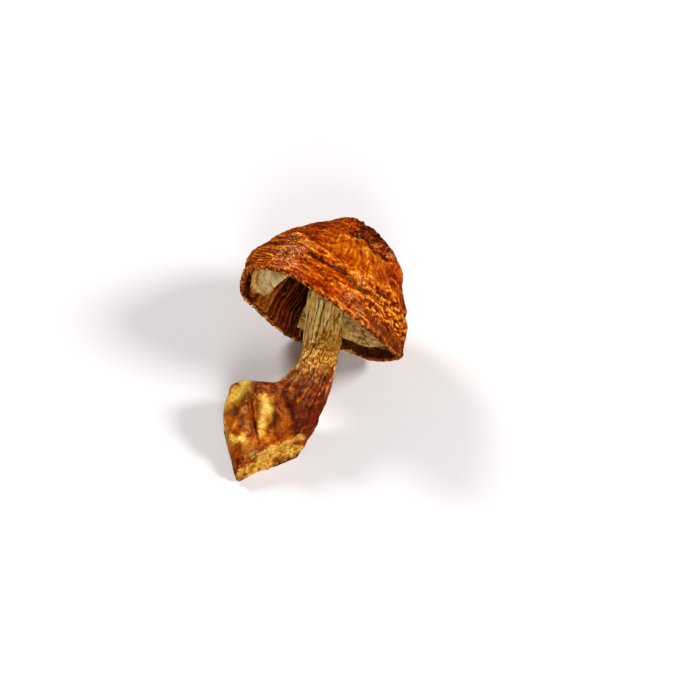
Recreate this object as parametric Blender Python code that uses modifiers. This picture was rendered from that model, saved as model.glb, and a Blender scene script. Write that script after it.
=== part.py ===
"""A dried almond mushroom lying on its side, in metres, +Z up, its origin at the bottom centre of its box.

The cap, its gills and the torn veil are turned about the cap's axis, and one rule then gives all three
the waves, the lean and the flat that drying left. The stem is lofted through ribs measured across it.
Shapes are made in the cap's frame: X across the cap, Y towards the table, Z from the mouth to the crown.
"""

import math

import bmesh
import bpy
from mathutils import Matrix, Vector, noise

MM = 0.001

# How high the centre of the cap's mouth lies over the table, and how far its axis rises from level
MOUTH_HEIGHT = 18.1 * MM
AXIS_RISE = math.radians(20.6)

# Each dome is turned from (radius / R) ** ROUNDNESS + (height / H) ** ROUNDNESS = 1
ROUNDNESS = 1.72
CAP_RADIUS = 20.4 * MM
CAP_HEIGHT = 24.3 * MM
FLESH_RADIUS = 19.0 * MM
FLESH_HEIGHT = 20.8 * MM
LIP_RADIUS = (CAP_RADIUS - FLESH_RADIUS) / 2
TOUCH_GAP = 0.3 * MM

# The gills hang from a thin layer under the flesh and end on a shallower dome
GILL_LAYER = 0.7 * MM
GILL_RADIUS = 17.5 * MM
GILL_HEIGHT = 16.0 * MM
GILL_START = 0.9 * MM
GILL_LIFT = 1.5 * MM
LIFT_DEPTH = 5.0 * MM
GILL_THICKNESS = 0.65 * MM
GILL_COUNT = 60
STEM_HOLE = 5.3 * MM
GILL_REACH = (5.6 * MM, 12.0 * MM, 8.4 * MM)
GILL_END_SLOPE = 1.6 * MM

# The veil lines the gills, from the margin towards the stem, with one clean tear and one ragged gap
VEIL_THICKNESS = 0.6 * MM
VEIL_START = 1.3 * MM
VEIL_LAP = 0.8 * MM
VEIL_FLARE = 18.1 * MM
LAP_TURNS = (165.0, 246.0)
VEIL_HOLE = 6.4 * MM
VEIL_FROM_TURN = 160.0
VEIL_TO_TURN = 481.0
VEIL_CORNER = (16.0, 1.8 * MM)
VEIL_GAP_TURNS = (236.0, 334.0)
VEIL_FRINGE = 0.13
VEIL_LEFT_REACH = 0.78

# Turns are in degrees about the cap's axis: 0 on the right, 90 on the table, 180 on the left, 270 on top.
# The margin stands above or below its plane by these millimetres, one for every 15 degrees from 0.
MARGIN_RISE = (
    -1.9, -0.7, -0.1, -0.1, -0.1, 0.5, 0.5, -0.5, -1.2, -0.6, 0.1, 0.2,
    0.3, 2.4, 3.4, 2.9, 2.8, 2.3, 1.1, -0.1, -1.0, -1.8, -2.3, -2.5,
)
TABLE_TURN = 90.0
TABLE_CHORD = 0.955
LEAN = -1.6 * MM
MARGIN_SHIFT = -0.6 * MM

FOLD_HEIGHT = 0.38 * MM
FOLD_LENGTH = 7.0 * MM
FOLD_SPACING = 3.0 * MM
RAY_OFFSET = Vector((2.6 * MM, -1.5 * MM, 0.0))

# The cap's main folds: a line of (turn, height above the margin in mm), then reach and height in mm
CAP_FOLDS = (
    (((254, 8.9), (270, 8.7), (289, 8.9), (303, 8.7), (316, 8.9), (327, 9.9), (338, 10.3)), 1.4, 0.75),
    (((260, 6.9), (280, 6.7), (295, 6.8), (308, 6.2), (318, 6.8), (328, 7.8), (338, 8.0)), 1.3, -0.8),
    (((297, 17.2), (302, 14.6), (307, 12.2), (309, 10.4)), 1.2, 0.6),
    (((258, 21.4), (280, 22.8)), 1.9, 0.6),
    (((212, 9.5), (224, 14.0), (240, 18.0)), 4.5, -0.9),
    (((332, 20.4), (346, 19.4)), 2.6, -0.6),
    (((286, 18.6), (300, 18.2), (314, 17.4), (328, 17.2)), 1.5, -0.7),
    (((222, 10.0), (236, 11.6), (248, 11.8), (258, 10.4), (268, 9.6)), 1.3, 0.55),
    (((196, 6.2), (206, 6.6), (218, 5.6)), 2.6, 0.5),
    (((350, 10.6), (370, 9.4), (392, 10.4), (420, 8.8), (446, 9.8)), 1.5, 0.6),
    (((352, 8.2), (372, 7.2), (394, 8.0), (422, 6.6)), 1.4, -0.6),
    (((110, 11.6), (132, 10.2), (158, 12.0), (182, 10.8)), 1.5, 0.6),
    (((62, 15.4), (84, 14.2), (108, 15.8)), 1.4, -0.5),
    (((20, 18.6), (28, 15.0), (24, 12.0)), 1.3, 0.5),
    (((150, 19.0), (144, 15.8), (150, 12.8)), 1.3, 0.5),
)

# Ribs across the stem: left edge and right edge (x, y, z), thickness above and below, all in millimetres
STEM_RIBS = (
    ((-5.1, 0.0, 19.6), (3.3, 0.0, 19.6), 3.9, 3.9),
    ((-5.5, 0.0, 12.0), (2.9, 0.0, 12.0), 3.8, 3.8),
    ((-5.3, 0.0, 4.5), (3.6, 0.0, 4.5), 3.7, 3.7),
    ((-3.5, 0.0, -1.8), (5.6, 0.0, -2.6), 3.8, 3.8),
    ((-2.1, 0.0, -7.2), (6.8, 0.0, -7.5), 3.9, 3.9),
    ((-1.4, 0.0, -12.4), (7.2, 0.0, -12.2), 4.2, 4.6),
    ((-3.8, 0.5, -17.6), (7.8, 0.5, -15.8), 5.0, 6.0),
    ((-9.4, 1.5, -19.4), (8.2, 1.0, -18.4), 6.6, 7.2),
    ((-13.0, 2.0, -20.8), (7.8, 2.0, -20.4), 8.0, 8.1),
    ((-13.8, 2.5, -23.8), (7.2, 3.2, -22.4), 8.4, 7.8),
    ((-13.2, 2.5, -27.8), (6.5, 4.4, -24.2), 7.8, 6.4),
    ((-11.6, 2.2, -31.8), (6.1, 5.2, -25.8), 6.4, 5.2),
    ((-9.0, 2.0, -35.2), (5.8, 5.9, -27.0), 5.0, 4.2),
    ((-6.8, 1.8, -38.0), (5.5, 6.4, -28.0), 3.8, 3.2),
    ((-5.0, 1.6, -40.2), (5.3, 6.7, -28.8), 2.8, 2.7),
)
CUT_SLANT = (0.7, 0.78)
FOOT_BOXINESS = (0.6, 0.3)
STEM_ROWS = 46
STEM_COLUMNS = 38
STEM_CREASES = 7
CREASE_DEPTH = 0.42 * MM
STEM_TWIST = math.radians(75)
END_HOLLOW = 1.0

# Ridges and furrows on the foot: a line of (x, y, z), then reach and height, all in millimetres
FOOT_FOLDS = (
    (((-11.4, -2.6, -21.4), (-6.0, -5.6, -20.8)), 2.0, 0.9),
    (((-3.6, -6.4, -23.0), (-2.8, -5.5, -26.0), (-2.0, -0.6, -31.8)), 2.1, 2.2),
    (((-2.8, -5.8, -20.6), (2.8, -3.2, -23.6), (4.2, 1.5, -26.2)), 1.6, -2.0),
    (((-8.4, -4.3, -23.5), (-7.0, -3.6, -27.0), (-5.0, -1.6, -30.5)), 1.5, -1.5),
    (((-12.0, -2.0, -23.5), (-10.5, -1.9, -29.2), (-7.2, -1.0, -33.0)), 1.9, 0.9),
    (((1.2, -1.5, -25.6), (0.8, 0.2, -29.0)), 2.0, 1.0),
    (((4.5, -4.2, -17.5), (6.9, -0.8, -22.4)), 2.2, 0.8),
    (((1.0, 6.0, -35.6), (1.8, 6.6, -34.2)), 1.9, -1.8),
    (((-11.0, 6.5, -23.0), (-9.5, 6.5, -30.0)), 2.6, 0.9),
    (((-1.0, 8.2, -15.5), (0.5, 9.4, -19.5)), 2.4, -1.0),
    (((4.5, 7.5, -20.0), (6.0, 8.0, -24.0)), 2.0, 0.8),
)

COLOURS = {
    "cap": (0.52, 0.19, 0.035),
    "gills": (0.055, 0.016, 0.007),
    "veil": (0.60, 0.50, 0.29),
    "stem": (0.55, 0.31, 0.09),
}

CAP_COLUMNS = 76
TO_ROW = Matrix.Translation((0.0, 0.0, MOUTH_HEIGHT)) @ Matrix.Rotation(AXIS_RISE - math.pi / 2, 4, "X")


def clear_scene():
    for obj in list(bpy.data.objects):
        bpy.data.objects.remove(obj)


def material(name, colour, roughness):
    made = bpy.data.materials.new(name)
    made.use_nodes = True
    shader = made.node_tree.nodes["Principled BSDF"]
    shader.inputs["Base Color"].default_value = (*colour, 1.0)
    shader.inputs["Roughness"].default_value = roughness
    shader.inputs["Metallic"].default_value = 0.0
    return made


def collection(name):
    made = bpy.data.collections.new(name)
    bpy.context.scene.collection.children.link(made)
    return made


def baked(obj, name, home):
    """The object's evaluated shape as a plain mesh object in the collection home; the original is removed."""
    bpy.context.view_layer.update()
    graph = bpy.context.evaluated_depsgraph_get()
    mesh = bpy.data.meshes.new_from_object(obj.evaluated_get(graph))
    mesh.transform(obj.matrix_world)
    bpy.data.objects.remove(obj)
    made = bpy.data.objects.new(name, mesh)
    home.objects.link(made)
    return made


def dome_at(radius, height, share):
    """A point (r, z) of a dome's profile, from its mouth at share 0 to its crown at share 1."""
    angle = share * math.pi / 2
    power = 2 / ROUNDNESS
    return radius * math.cos(angle) ** power, height * math.sin(angle) ** power


def share_at_height(height, z):
    return math.asin((z / height) ** (ROUNDNESS / 2)) / (math.pi / 2)


def share_at_radius(radius, r):
    return math.acos((r / radius) ** (ROUNDNESS / 2)) / (math.pi / 2)


def dome_line(radius, height, first, last, steps):
    """Points of a dome's profile from share first to share last."""
    return [dome_at(radius, height, first + (last - first) * i / steps) for i in range(steps + 1)]


def turned(name, profile, columns, closed, home):
    """A solid turned about Z from a profile of (r, z) points that runs down its outer side."""
    count = len(profile)
    edges = [(i, (i + 1) % count) for i in range(count if closed else count - 1)]
    mesh = bpy.data.meshes.new(name)
    mesh.from_pydata([(r, 0.0, z) for r, z in profile], edges, [])
    obj = bpy.data.objects.new(name, mesh)
    home.objects.link(obj)
    screw = obj.modifiers.new("Screw", "SCREW")
    screw.steps = screw.render_steps = columns
    screw.use_merge_vertices = True
    screw.merge_threshold = 0.01 * MM
    return baked(obj, name, home)


def turn_gap(turn, middle):
    """Degrees from one turn to another, the short way round."""
    return (turn - middle + 180.0) % 360.0 - 180.0


def smooth(a, b, c, d, t):
    """The value at t between b and c on a smooth curve through four even steps."""
    return b + 0.5 * t * (c - a + t * (2 * a - 5 * b + 4 * c - d + t * (3 * b - a - 3 * c + d)))


def margin_wave(turn):
    """How far the margin stands above or below its plane."""
    count = len(MARGIN_RISE)
    place = turn % 360.0 / 360.0 * count
    index = int(place)
    return MM * smooth(*(MARGIN_RISE[(index + k) % count] for k in (-1, 0, 1, 2)), place - index)


def dried(point):
    """Where drying left a point of the turned cap, gills or veil."""
    turn = math.degrees(math.atan2(point.y, point.x))
    rise = min(1.0, max(0.0, point.z / CAP_HEIGHT))
    near_margin = (1.0 - rise) ** 2
    off_table = math.radians(turn_gap(turn, TABLE_TURN))
    chord = TABLE_CHORD / math.cos(off_table) if abs(off_table) < math.pi / 3 else 1.0
    squeeze = 1.0 - (1.0 - min(1.0, chord)) * near_margin
    return Vector((
        point.x * squeeze + LEAN * math.sin(math.pi * rise) + MARGIN_SHIFT * near_margin,
        point.y * squeeze,
        point.z + margin_wave(turn) * near_margin,
    ))


def off_line(point, line):
    """The distance from a point to a line through several points."""
    nearest = math.inf
    for start, end in zip(line, line[1:]):
        along = end - start
        share = min(1.0, max(0.0, (point - start).dot(along) / along.length_squared))
        nearest = min(nearest, (point - start - along * share).length)
    return nearest


def folded(point, folds):
    """Height of the listed folds at a point: each is (line, reach, height)."""
    return sum(height * math.exp(-((off_line(point, line) / reach) ** 2)) for line, reach, height in folds)


def ridged(place):
    """Noise with sharp crests, from -1 to 1."""
    return 1.0 - 2.0 * min(1.0, abs(noise.noise(place)) * 1.8)


def cap_fold(point):
    """Height of the skin's small folds: level ones round the cap, and rays that run to the crown."""
    level = ridged(Vector((point.x / FOLD_LENGTH, point.y / FOLD_LENGTH, point.z / FOLD_SPACING)))
    from_crown = point + RAY_OFFSET
    direction = Vector((from_crown.x, from_crown.y, 0.0)).normalized()
    ray = ridged(Vector((direction.x * 3.2, direction.y * 3.2, point.z / (14 * MM) + 7.0)))
    high = min(1.0, max(0.0, point.z / CAP_HEIGHT * 1.6 - 0.5))
    return FOLD_HEIGHT * (level * (1.0 - 0.7 * high) + ray * 0.8 * high)


def on_dome(turn, rise):
    """The point of the cap's outer dome at a turn in degrees and a height in millimetres."""
    r, z = dome_at(CAP_RADIUS, CAP_HEIGHT, share_at_height(CAP_HEIGHT, rise * MM))
    return Vector((r * math.cos(math.radians(turn)), r * math.sin(math.radians(turn)), z))


def on_skin(point):
    """1 on the cap's outer dome, falling to 0 at its lip and inside it."""
    reach = (math.hypot(point.x, point.y) / CAP_RADIUS) ** ROUNDNESS
    reach += (max(0.0, point.z) / CAP_HEIGHT) ** ROUNDNESS
    return min(1.0, max(0.0, (reach - 0.93) / 0.06)) * min(1.0, max(0.0, point.z / (1.5 * MM) + 0.35))


def settled(obj):
    """Places the object in the row's frame and presses what would pass the table flat against it."""
    obj.data.transform(TO_ROW)
    for vertex in obj.data.vertices:
        vertex.co.z = max(0.0, vertex.co.z)


def finish(obj, name, smooth_angle=40.0):
    obj.name = name
    obj.data.name = name
    obj.data.materials.clear()
    obj.data.materials.append(material(name, COLOURS[name], 0.45 if name == "cap" else 0.7))
    obj.data.shade_smooth()
    obj.data.set_sharp_from_angle(angle=math.radians(smooth_angle))


def build_cap(home):
    outer = dome_line(CAP_RADIUS, CAP_HEIGHT, 1.0, 0.0, 28)
    middle = CAP_RADIUS - LIP_RADIUS
    lip = [
        (middle + LIP_RADIUS * math.cos(math.radians(a)), -LIP_RADIUS * math.sin(math.radians(a)))
        for a in (36, 72, 108, 144)
    ]
    inner = dome_line(FLESH_RADIUS, FLESH_HEIGHT, 0.0, 1.0, 6)
    cap = turned("cap", outer + lip + inner, CAP_COLUMNS, False, home)
    folds = [([on_dome(*place) for place in line], reach * MM, height * MM) for line, reach, height in CAP_FOLDS]
    for vertex in cap.data.vertices:
        point = vertex.co.copy()
        weight = on_skin(point)
        if weight:
            outward = Vector((point.x, point.y, point.z * CAP_RADIUS / CAP_HEIGHT)).normalized()
            point += outward * weight * (cap_fold(point) + folded(point, folds))
        vertex.co = dried(point)
    settled(cap)
    finish(cap, "cap")


def gill_blade(start, reach, turn, home):
    """One gill as a flat plate, its outer edge sunk in the layer that it hangs from."""
    root_radius = FLESH_RADIUS - TOUCH_GAP - GILL_LAYER / 2
    root_height = FLESH_HEIGHT - TOUCH_GAP - GILL_LAYER / 2
    root = dome_line(
        root_radius, root_height, share_at_height(root_height, start), share_at_radius(root_radius, reach), 4
    )
    edge = dome_line(
        GILL_RADIUS, GILL_HEIGHT, share_at_radius(GILL_RADIUS, reach + GILL_END_SLOPE),
        share_at_height(GILL_HEIGHT, start), 6,
    )
    curve = bpy.data.curves.new("gill_blade", "CURVE")
    curve.dimensions = "2D"
    curve.fill_mode = "BOTH"
    curve.extrude = GILL_THICKNESS / 2
    spline = curve.splines.new("POLY")
    outline = root + edge
    spline.points.add(len(outline) - 1)
    for point, (r, z) in zip(spline.points, outline):
        point.co = (r, z, 0.0, 1.0)
    spline.use_cyclic_u = True
    obj = bpy.data.objects.new("gill_blade", curve)
    home.objects.link(obj)
    obj.matrix_world = Matrix.Rotation(math.radians(turn), 4, "Z") @ Matrix.Rotation(math.pi / 2, 4, "X")
    weld(baked(obj, "gill", home))


def weld(obj):
    made = bmesh.new()
    made.from_mesh(obj.data)
    bmesh.ops.remove_doubles(made, verts=made.verts, dist=0.01 * MM)
    bmesh.ops.recalc_face_normals(made, faces=made.faces)
    made.to_mesh(obj.data)
    made.free()


def lapped(turn):
    """1 where the veil laps over the gills' outer ends to reach the margin, 0 elsewhere."""
    first, last = LAP_TURNS
    return min(1.0, max(0.0, min(turn % 360.0 - first, last - turn % 360.0) / 8.0))


def lifted(point):
    """Gills end further in where the veil laps over their outer ends."""
    near = max(0.0, 1.0 - (point.z - GILL_START) / LIFT_DEPTH)
    lift = GILL_LIFT * near * lapped(math.degrees(math.atan2(point.y, point.x)))
    ratio = dome_radius(point.z + lift) / dome_radius(point.z)
    return Vector((point.x * ratio, point.y * ratio, point.z + lift))


def dome_radius(z):
    """Radius of the flesh's dome, as a share, at a height above the mouth."""
    return max(1e-6, 1.0 - (min(z, FLESH_HEIGHT) / FLESH_HEIGHT) ** ROUNDNESS) ** (1.0 / ROUNDNESS)


def waved(point):
    """Gills lean and bend a little as they dry, more towards their free edges."""
    radius = math.hypot(point.x, point.y)
    turn = math.atan2(point.y, point.x)
    bend = noise.noise(Vector((math.cos(turn) * 2.4, math.sin(turn) * 2.4, point.z / (7 * MM))))
    turn += 0.9 * MM * bend / max(radius, 6 * MM)
    return Vector((radius * math.cos(turn), radius * math.sin(turn), point.z))


def build_gills(home, tools):
    outer_radius = FLESH_RADIUS - TOUCH_GAP
    outer_height = FLESH_HEIGHT - TOUCH_GAP
    inner_radius = outer_radius - GILL_LAYER
    inner_height = outer_height - GILL_LAYER
    outer = dome_line(
        outer_radius, outer_height, share_at_radius(outer_radius, STEM_HOLE),
        share_at_height(outer_height, GILL_START), 5,
    )
    inner = dome_line(
        inner_radius, inner_height, share_at_height(inner_height, GILL_START),
        share_at_radius(inner_radius, STEM_HOLE), 5,
    )
    gills = turned("gills", outer + inner, GILL_COUNT, True, home)
    weld(gills)
    for index in range(GILL_COUNT):
        turn = 360.0 * (index + 0.5) / GILL_COUNT
        gill_blade(GILL_START + 0.1 * MM, GILL_REACH[index % len(GILL_REACH)], turn, tools)
    union = gills.modifiers.new("Gills", "BOOLEAN")
    union.operation = "UNION"
    union.operand_type = "COLLECTION"
    union.collection = tools
    union.solver = "MANIFOLD"
    gills = baked(gills, "gills", home)
    for blade in list(tools.objects):
        bpy.data.objects.remove(blade)
    for vertex in gills.data.vertices:
        vertex.co = dried(waved(lifted(vertex.co)))
    settled(gills)
    finish(gills, "gills", 30.0)


def veil_reach(turn):
    """Share of the way from the margin to the stem that the veil still covers at a turn."""
    first, last = VEIL_GAP_TURNS
    into_gap = min(turn - first, last - turn) / 12.0
    gap = min(1.0, max(0.0, into_gap + 0.5))
    whole = VEIL_LEFT_REACH if turn < (first + last) / 2 else 1.0
    ragged = 0.05 * noise.noise(Vector((turn / 9.0, 0.0, 3.0)))
    return whole * (1.0 - gap) + VEIL_FRINGE * gap + ragged * (1.0 if whole < 1.0 or gap else 0.0)


def build_veil(home):
    """A sheet bent from a grid, whose columns run from the margin inwards, then given its thickness."""
    columns, rows = 54, 7
    bpy.ops.mesh.primitive_grid_add(x_subdivisions=columns, y_subdivisions=rows, size=1.0)
    sheet = bpy.context.object
    radius = GILL_RADIUS - TOUCH_GAP - VEIL_THICKNESS / 2
    height = GILL_HEIGHT - TOUCH_GAP - VEIL_THICKNESS / 2
    last = share_at_radius(radius, VEIL_HOLE)
    width, cut = VEIL_CORNER
    for vertex in sheet.data.vertices:
        turn = VEIL_FROM_TURN + (VEIL_TO_TURN - VEIL_FROM_TURN) * (vertex.co.x + 0.5)
        corner = cut * max(0.0, 1.0 - (turn - VEIL_FROM_TURN) / width) ** 2
        lap = lapped(turn) * max(0.0, 1.0 - corner / cut)
        first = share_at_height(height, VEIL_START + VEIL_LAP * lap + corner)
        row = round((vertex.co.y + 0.5) * rows)
        r, z = dome_at(radius, height, first + (last - first) * veil_reach(turn) * max(0, row - 1) / (rows - 1))
        if row == 0:
            r, z = r + (VEIL_FLARE - r) * lap, z - VEIL_LAP * lap
        angle = math.radians(turn)
        vertex.co = dried(Vector((r * math.cos(angle), r * math.sin(angle), z)))
    solidify = sheet.modifiers.new("Solidify", "SOLIDIFY")
    solidify.thickness = VEIL_THICKNESS
    solidify.offset = 0.0
    veil = baked(sheet, "veil", home)
    weld(veil)
    settled(veil)
    finish(veil, "veil")


def between(ribs, share):
    """A rib's numbers at a share of the stem's length, on a smooth curve through all the ribs."""
    place = share * (len(ribs) - 1)
    index = min(int(place), len(ribs) - 2)
    near = [ribs[min(max(index + k, 0), len(ribs) - 1)] for k in (-1, 0, 1, 2)]
    return [smooth(*numbers, place - index) for numbers in zip(*near)]


def crease(angle, share):
    """Depth of the stem's long creases, which twist as they run down and fade on the foot."""
    wander = 0.9 * noise.noise(Vector((math.cos(angle), math.sin(angle), share * 5.0)))
    wave = math.cos(STEM_CREASES * (angle + STEM_TWIST * share + wander))
    return CREASE_DEPTH * (0.5 + 0.5 * wave) ** 2


def build_stem(home):
    """A turned rod of unit radius whose rings are set between the stem's ribs, then creased and folded."""
    rows = [(1.0, 1.0 - i / STEM_ROWS) for i in range(STEM_ROWS + 1)]
    profile = [(0.0, 1.0)] + rows + [(0.5, 0.0), (0.0, 0.0)]
    stem = turned("stem", [(r * MM, z * MM) for r, z in profile], STEM_COLUMNS, False, home)
    ribs = [(*left, *right, above, below) for left, right, above, below in STEM_RIBS]
    slant_from, slant = CUT_SLANT
    box_from, boxiness = FOOT_BOXINESS
    folds = [([Vector(place) for place in line], reach, height) for line, reach, height in FOOT_FOLDS]
    for vertex in stem.data.vertices:
        x, y, z = vertex.co / MM
        share = 1.0 - z
        rim = math.hypot(x, y)
        box = boxiness * min(1.0, max(0.0, (share - box_from) / (1.0 - box_from)))
        if rim > 0.01:
            x = math.copysign(abs(x / rim) ** (1.0 - box), x) * rim
            y = math.copysign(abs(y / rim) ** (1.0 - box), y) * rim
        *edges, above, below = between(ribs, share)
        left, right = Vector(edges[:3]), Vector(edges[3:])
        middle = (left + right) / 2
        half = (right - left) / 2
        rise = y * (below if y > 0 else above)
        lean = slant * max(0.0, (share - slant_from) / (1.0 - slant_from))
        across = half * x + Vector((0.0, rise, -rise * lean))
        if rim > 0.01:
            depth = crease(math.atan2(y, x), share) / MM * rim
            across *= 1.0 - depth / max(half.length, 3.0)
            across += across.normalized() * folded(middle + across, folds) * rim
        hollow = END_HOLLOW * (1.0 - rim * rim) if share > 0.999 else 0.0
        inward = Vector((-half.z, 0.0, half.x)).normalized()
        vertex.co = (middle + across + inward * hollow) * MM
    settled(stem)
    finish(stem, "stem")


def centred(objects):
    """Moves all the nodes together so that the origin is the bottom centre of their common box."""
    points = [vertex.co for obj in objects for vertex in obj.data.vertices]
    middle = [(min(p[i] for p in points) + max(p[i] for p in points)) / 2 for i in (0, 1)]
    for obj in objects:
        obj.data.transform(Matrix.Translation((-middle[0], -middle[1], 0.0)))


def main():
    clear_scene()
    mushroom = collection("almond_mushroom")
    tools = collection("tools")
    tools.hide_render = True
    build_cap(mushroom)
    build_gills(mushroom, tools)
    build_veil(mushroom)
    build_stem(mushroom)
    centred(mushroom.objects)


main()
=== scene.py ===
# %% [markdown]
# # A dried almond mushroom on a white table
#
# This notebook dresses a CAD model of one dried almond mushroom. The CAD parts give the real size and the
# main forms. Here each part gets a fine mesh made by the same rules, with the wrinkles that drying left,
# and a finish of its own. All lengths are in millimetres until a mesh is made, when they turn to metres.

# %% Load the CAD frame
import math

import bmesh
import bpy
import numpy as np
from mathutils import Matrix, Vector, noise


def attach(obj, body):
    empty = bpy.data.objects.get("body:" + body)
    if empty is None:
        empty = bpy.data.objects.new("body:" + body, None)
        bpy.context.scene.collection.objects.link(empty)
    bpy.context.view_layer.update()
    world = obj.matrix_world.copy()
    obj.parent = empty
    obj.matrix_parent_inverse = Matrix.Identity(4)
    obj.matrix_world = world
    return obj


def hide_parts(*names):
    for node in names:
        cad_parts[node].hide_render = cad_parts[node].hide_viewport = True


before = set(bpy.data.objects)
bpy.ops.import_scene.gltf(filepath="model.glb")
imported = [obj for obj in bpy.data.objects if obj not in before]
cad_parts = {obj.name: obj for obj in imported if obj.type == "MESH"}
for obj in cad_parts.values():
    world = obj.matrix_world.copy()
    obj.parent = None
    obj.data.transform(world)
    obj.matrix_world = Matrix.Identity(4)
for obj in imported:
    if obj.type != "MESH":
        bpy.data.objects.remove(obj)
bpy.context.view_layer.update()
MM = 0.001
print("CAD nodes:", sorted(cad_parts))

# %% [markdown]
# ## Where things are
#
# The mushroom is shaped in the cap's own frame: X across the cap, Y towards the table and Z from the mouth
# of the cap to its crown. One matrix lays it on the table. The camera stands where the picture was taken
# from: 52 degrees above the table, a little to the right of the foot.

# %% Frame of the cap
# The centre of the cap's mouth in mm, and how far the cap's axis rises from level
MOUTH = Vector((0.756, 6.85, 18.1))
AXIS_RISE = math.radians(20.6)
TO_ROW = Matrix.Translation(MOUTH) @ Matrix.Rotation(AXIS_RISE - math.pi / 2, 4, "X")


def on_table(points):
    """Points (n, 3) of the cap's frame as they lie on the table, still in mm."""
    return (np.hstack([points, np.ones((len(points), 1))]) @ np.array(TO_ROW).T)[:, :3]


def in_scene(name, data):
    """A new object of the scene that holds a mesh, a lamp or a camera."""
    made = bpy.data.objects.new(name, data)
    bpy.context.scene.collection.objects.link(made)
    return made


print("Mouth of the cap at", [round(v, 2) for v in MOUTH], "mm")
print("Crown towards", [round(v, 2) for v in TO_ROW.col[2][:3]])

# %% Camera
CAMERA_TURN = math.radians(23.8)
CAMERA_RISE = math.radians(52.0)
CAMERA_REACH = 0.442
LENS = 100.0
SENSOR = 36.0
FRAME_PIXELS = 700
MOUTH_PIXEL = (323.0, 320.0)

back = Vector((
    math.sin(CAMERA_TURN) * math.cos(CAMERA_RISE),
    -math.cos(CAMERA_TURN) * math.cos(CAMERA_RISE),
    math.sin(CAMERA_RISE),
))
right = Vector((math.cos(CAMERA_TURN), math.sin(CAMERA_TURN), 0.0))
up = back.cross(right)
per_pixel = CAMERA_REACH * SENSOR / (FRAME_PIXELS * LENS)
across = (MOUTH_PIXEL[0] - FRAME_PIXELS / 2) * per_pixel
down = (MOUTH_PIXEL[1] - FRAME_PIXELS / 2) * per_pixel
camera_place = MOUTH * MM + back * CAMERA_REACH - right * across + up * down

lens = bpy.data.cameras.new("camera")
lens.lens = LENS
lens.sensor_width = SENSOR
lens.clip_start = 0.01
camera = in_scene("camera", lens)
camera.matrix_world = Matrix.Translation(camera_place) @ Matrix((right, up, back)).transposed().to_4x4()
bpy.context.scene.camera = camera
to_camera = np.array(TO_ROW.to_3x3().inverted() @ back)
print("Camera at", [round(v, 3) for v in camera_place])

# %% [markdown]
# ## Colours and nodes
#
# Dried flesh is painted dark in its creases, as painted shade, and pale on its crests, as painted highlight, with
# patches of other browns over that. So every finish is a stack of colour ramps. A shade, summed from the stored
# relief and fine noise, picks the place on each ramp, and a weight stored on the mesh says where a ramp shows.
# One function builds them all. Its colours are written as they look on a screen.

# %% Colour and node helpers
def linear(code):
    """An sRGB hex colour as the linear RGBA that Blender's sockets take."""
    values = [int(code[i:i + 2], 16) / 255 for i in (1, 3, 5)]
    return (*(v / 12.92 if v <= 0.04045 else ((v + 0.055) / 1.055) ** 2.4 for v in values), 1.0)


def add_node(tree, kind, inputs=(), stops=(), **settings):
    """Adds a node with settings and colour stops, and fills its inputs with values or links to sockets."""
    node = tree.nodes.new(kind)
    for name, value in settings.items():
        setattr(node, name, value)
    for key, value in dict(inputs).items():
        if isinstance(value, bpy.types.NodeSocket):
            tree.links.new(value, node.inputs[key])
        else:
            node.inputs[key].default_value = value
    if stops:
        elements = node.color_ramp.elements
        for _ in stops[2:]:
            elements.new(0.5)
        for element, (place, code) in zip(elements, stops):
            element.position = place
            element.color = linear(code)
    return node


def new_finish(name):
    """An empty node material and its tree."""
    made = bpy.data.materials.new(name)
    made.use_nodes = True
    made.node_tree.nodes.clear()
    return made, made.node_tree


print("White as the sockets take it:", linear("#ffffff"))

# %% Layered finishes
def summed(tree, given, start, terms):
    """A number plus named sockets times their shares."""
    total = start
    for key, share in terms:
        inputs = {0: given[key], 1: share, 2: total}
        total = add_node(tree, "ShaderNodeMath", inputs, operation="MULTIPLY_ADD").outputs[0]
    return total


def layered_finish(name, noises, shade, layers, roughness, shine, bump=None):
    """A finish of colour ramps laid over each other, each shown where its weight on the mesh says.

    noises gives the scale, detail and roughness of each noise, and shade the share of each noise or weight
    in the place on the ramps. Roughness is a start and such shares, shine is IOR, specular level and tint,
    and bump is a noise with its strength and distance.
    """
    made, tree = new_finish(name)
    coords = add_node(tree, "ShaderNodeTexCoord").outputs["Object"]
    weights = dict.fromkeys(key for key, _ in (*shade, *layers[1:], *roughness[1:]) if key not in noises)
    given = {key: add_node(tree, "ShaderNodeAttribute", attribute_name=key).outputs["Fac"] for key in weights}
    for key, (scale, detail, rough) in noises.items():
        inputs = {"Vector": coords, "Scale": scale, "Detail": detail, "Roughness": rough}
        given[key] = add_node(tree, "ShaderNodeTexNoise", inputs).outputs["Fac"]
    place = summed(tree, given, 0.0, shade)
    colour = None
    for key, stops in layers:
        layer = add_node(tree, "ShaderNodeValToRGB", {"Fac": place}, stops).outputs["Color"]
        if colour is None:
            colour = layer
        else:
            inputs = {"Factor": given[key], "A": colour, "B": layer}
            colour = add_node(tree, "ShaderNodeMix", inputs, data_type="RGBA").outputs["Result"]
    inputs = dict(zip(("IOR", "Specular IOR Level", "Specular Tint"), (*shine[:2], linear(shine[2]))))
    inputs |= {"Base Color": colour, "Roughness": summed(tree, given, roughness[0], roughness[1:])}
    if bump:
        height = {"Height": given[bump[0]], "Strength": bump[1], "Distance": bump[2]}
        inputs["Normal"] = add_node(tree, "ShaderNodeBump", height).outputs["Normal"]
    shader = add_node(tree, "ShaderNodeBsdfPrincipled", inputs)
    add_node(tree, "ShaderNodeOutputMaterial", {"Surface": shader.outputs["BSDF"]})
    print(name + ":", len(tree.nodes), "nodes")
    return made


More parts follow.
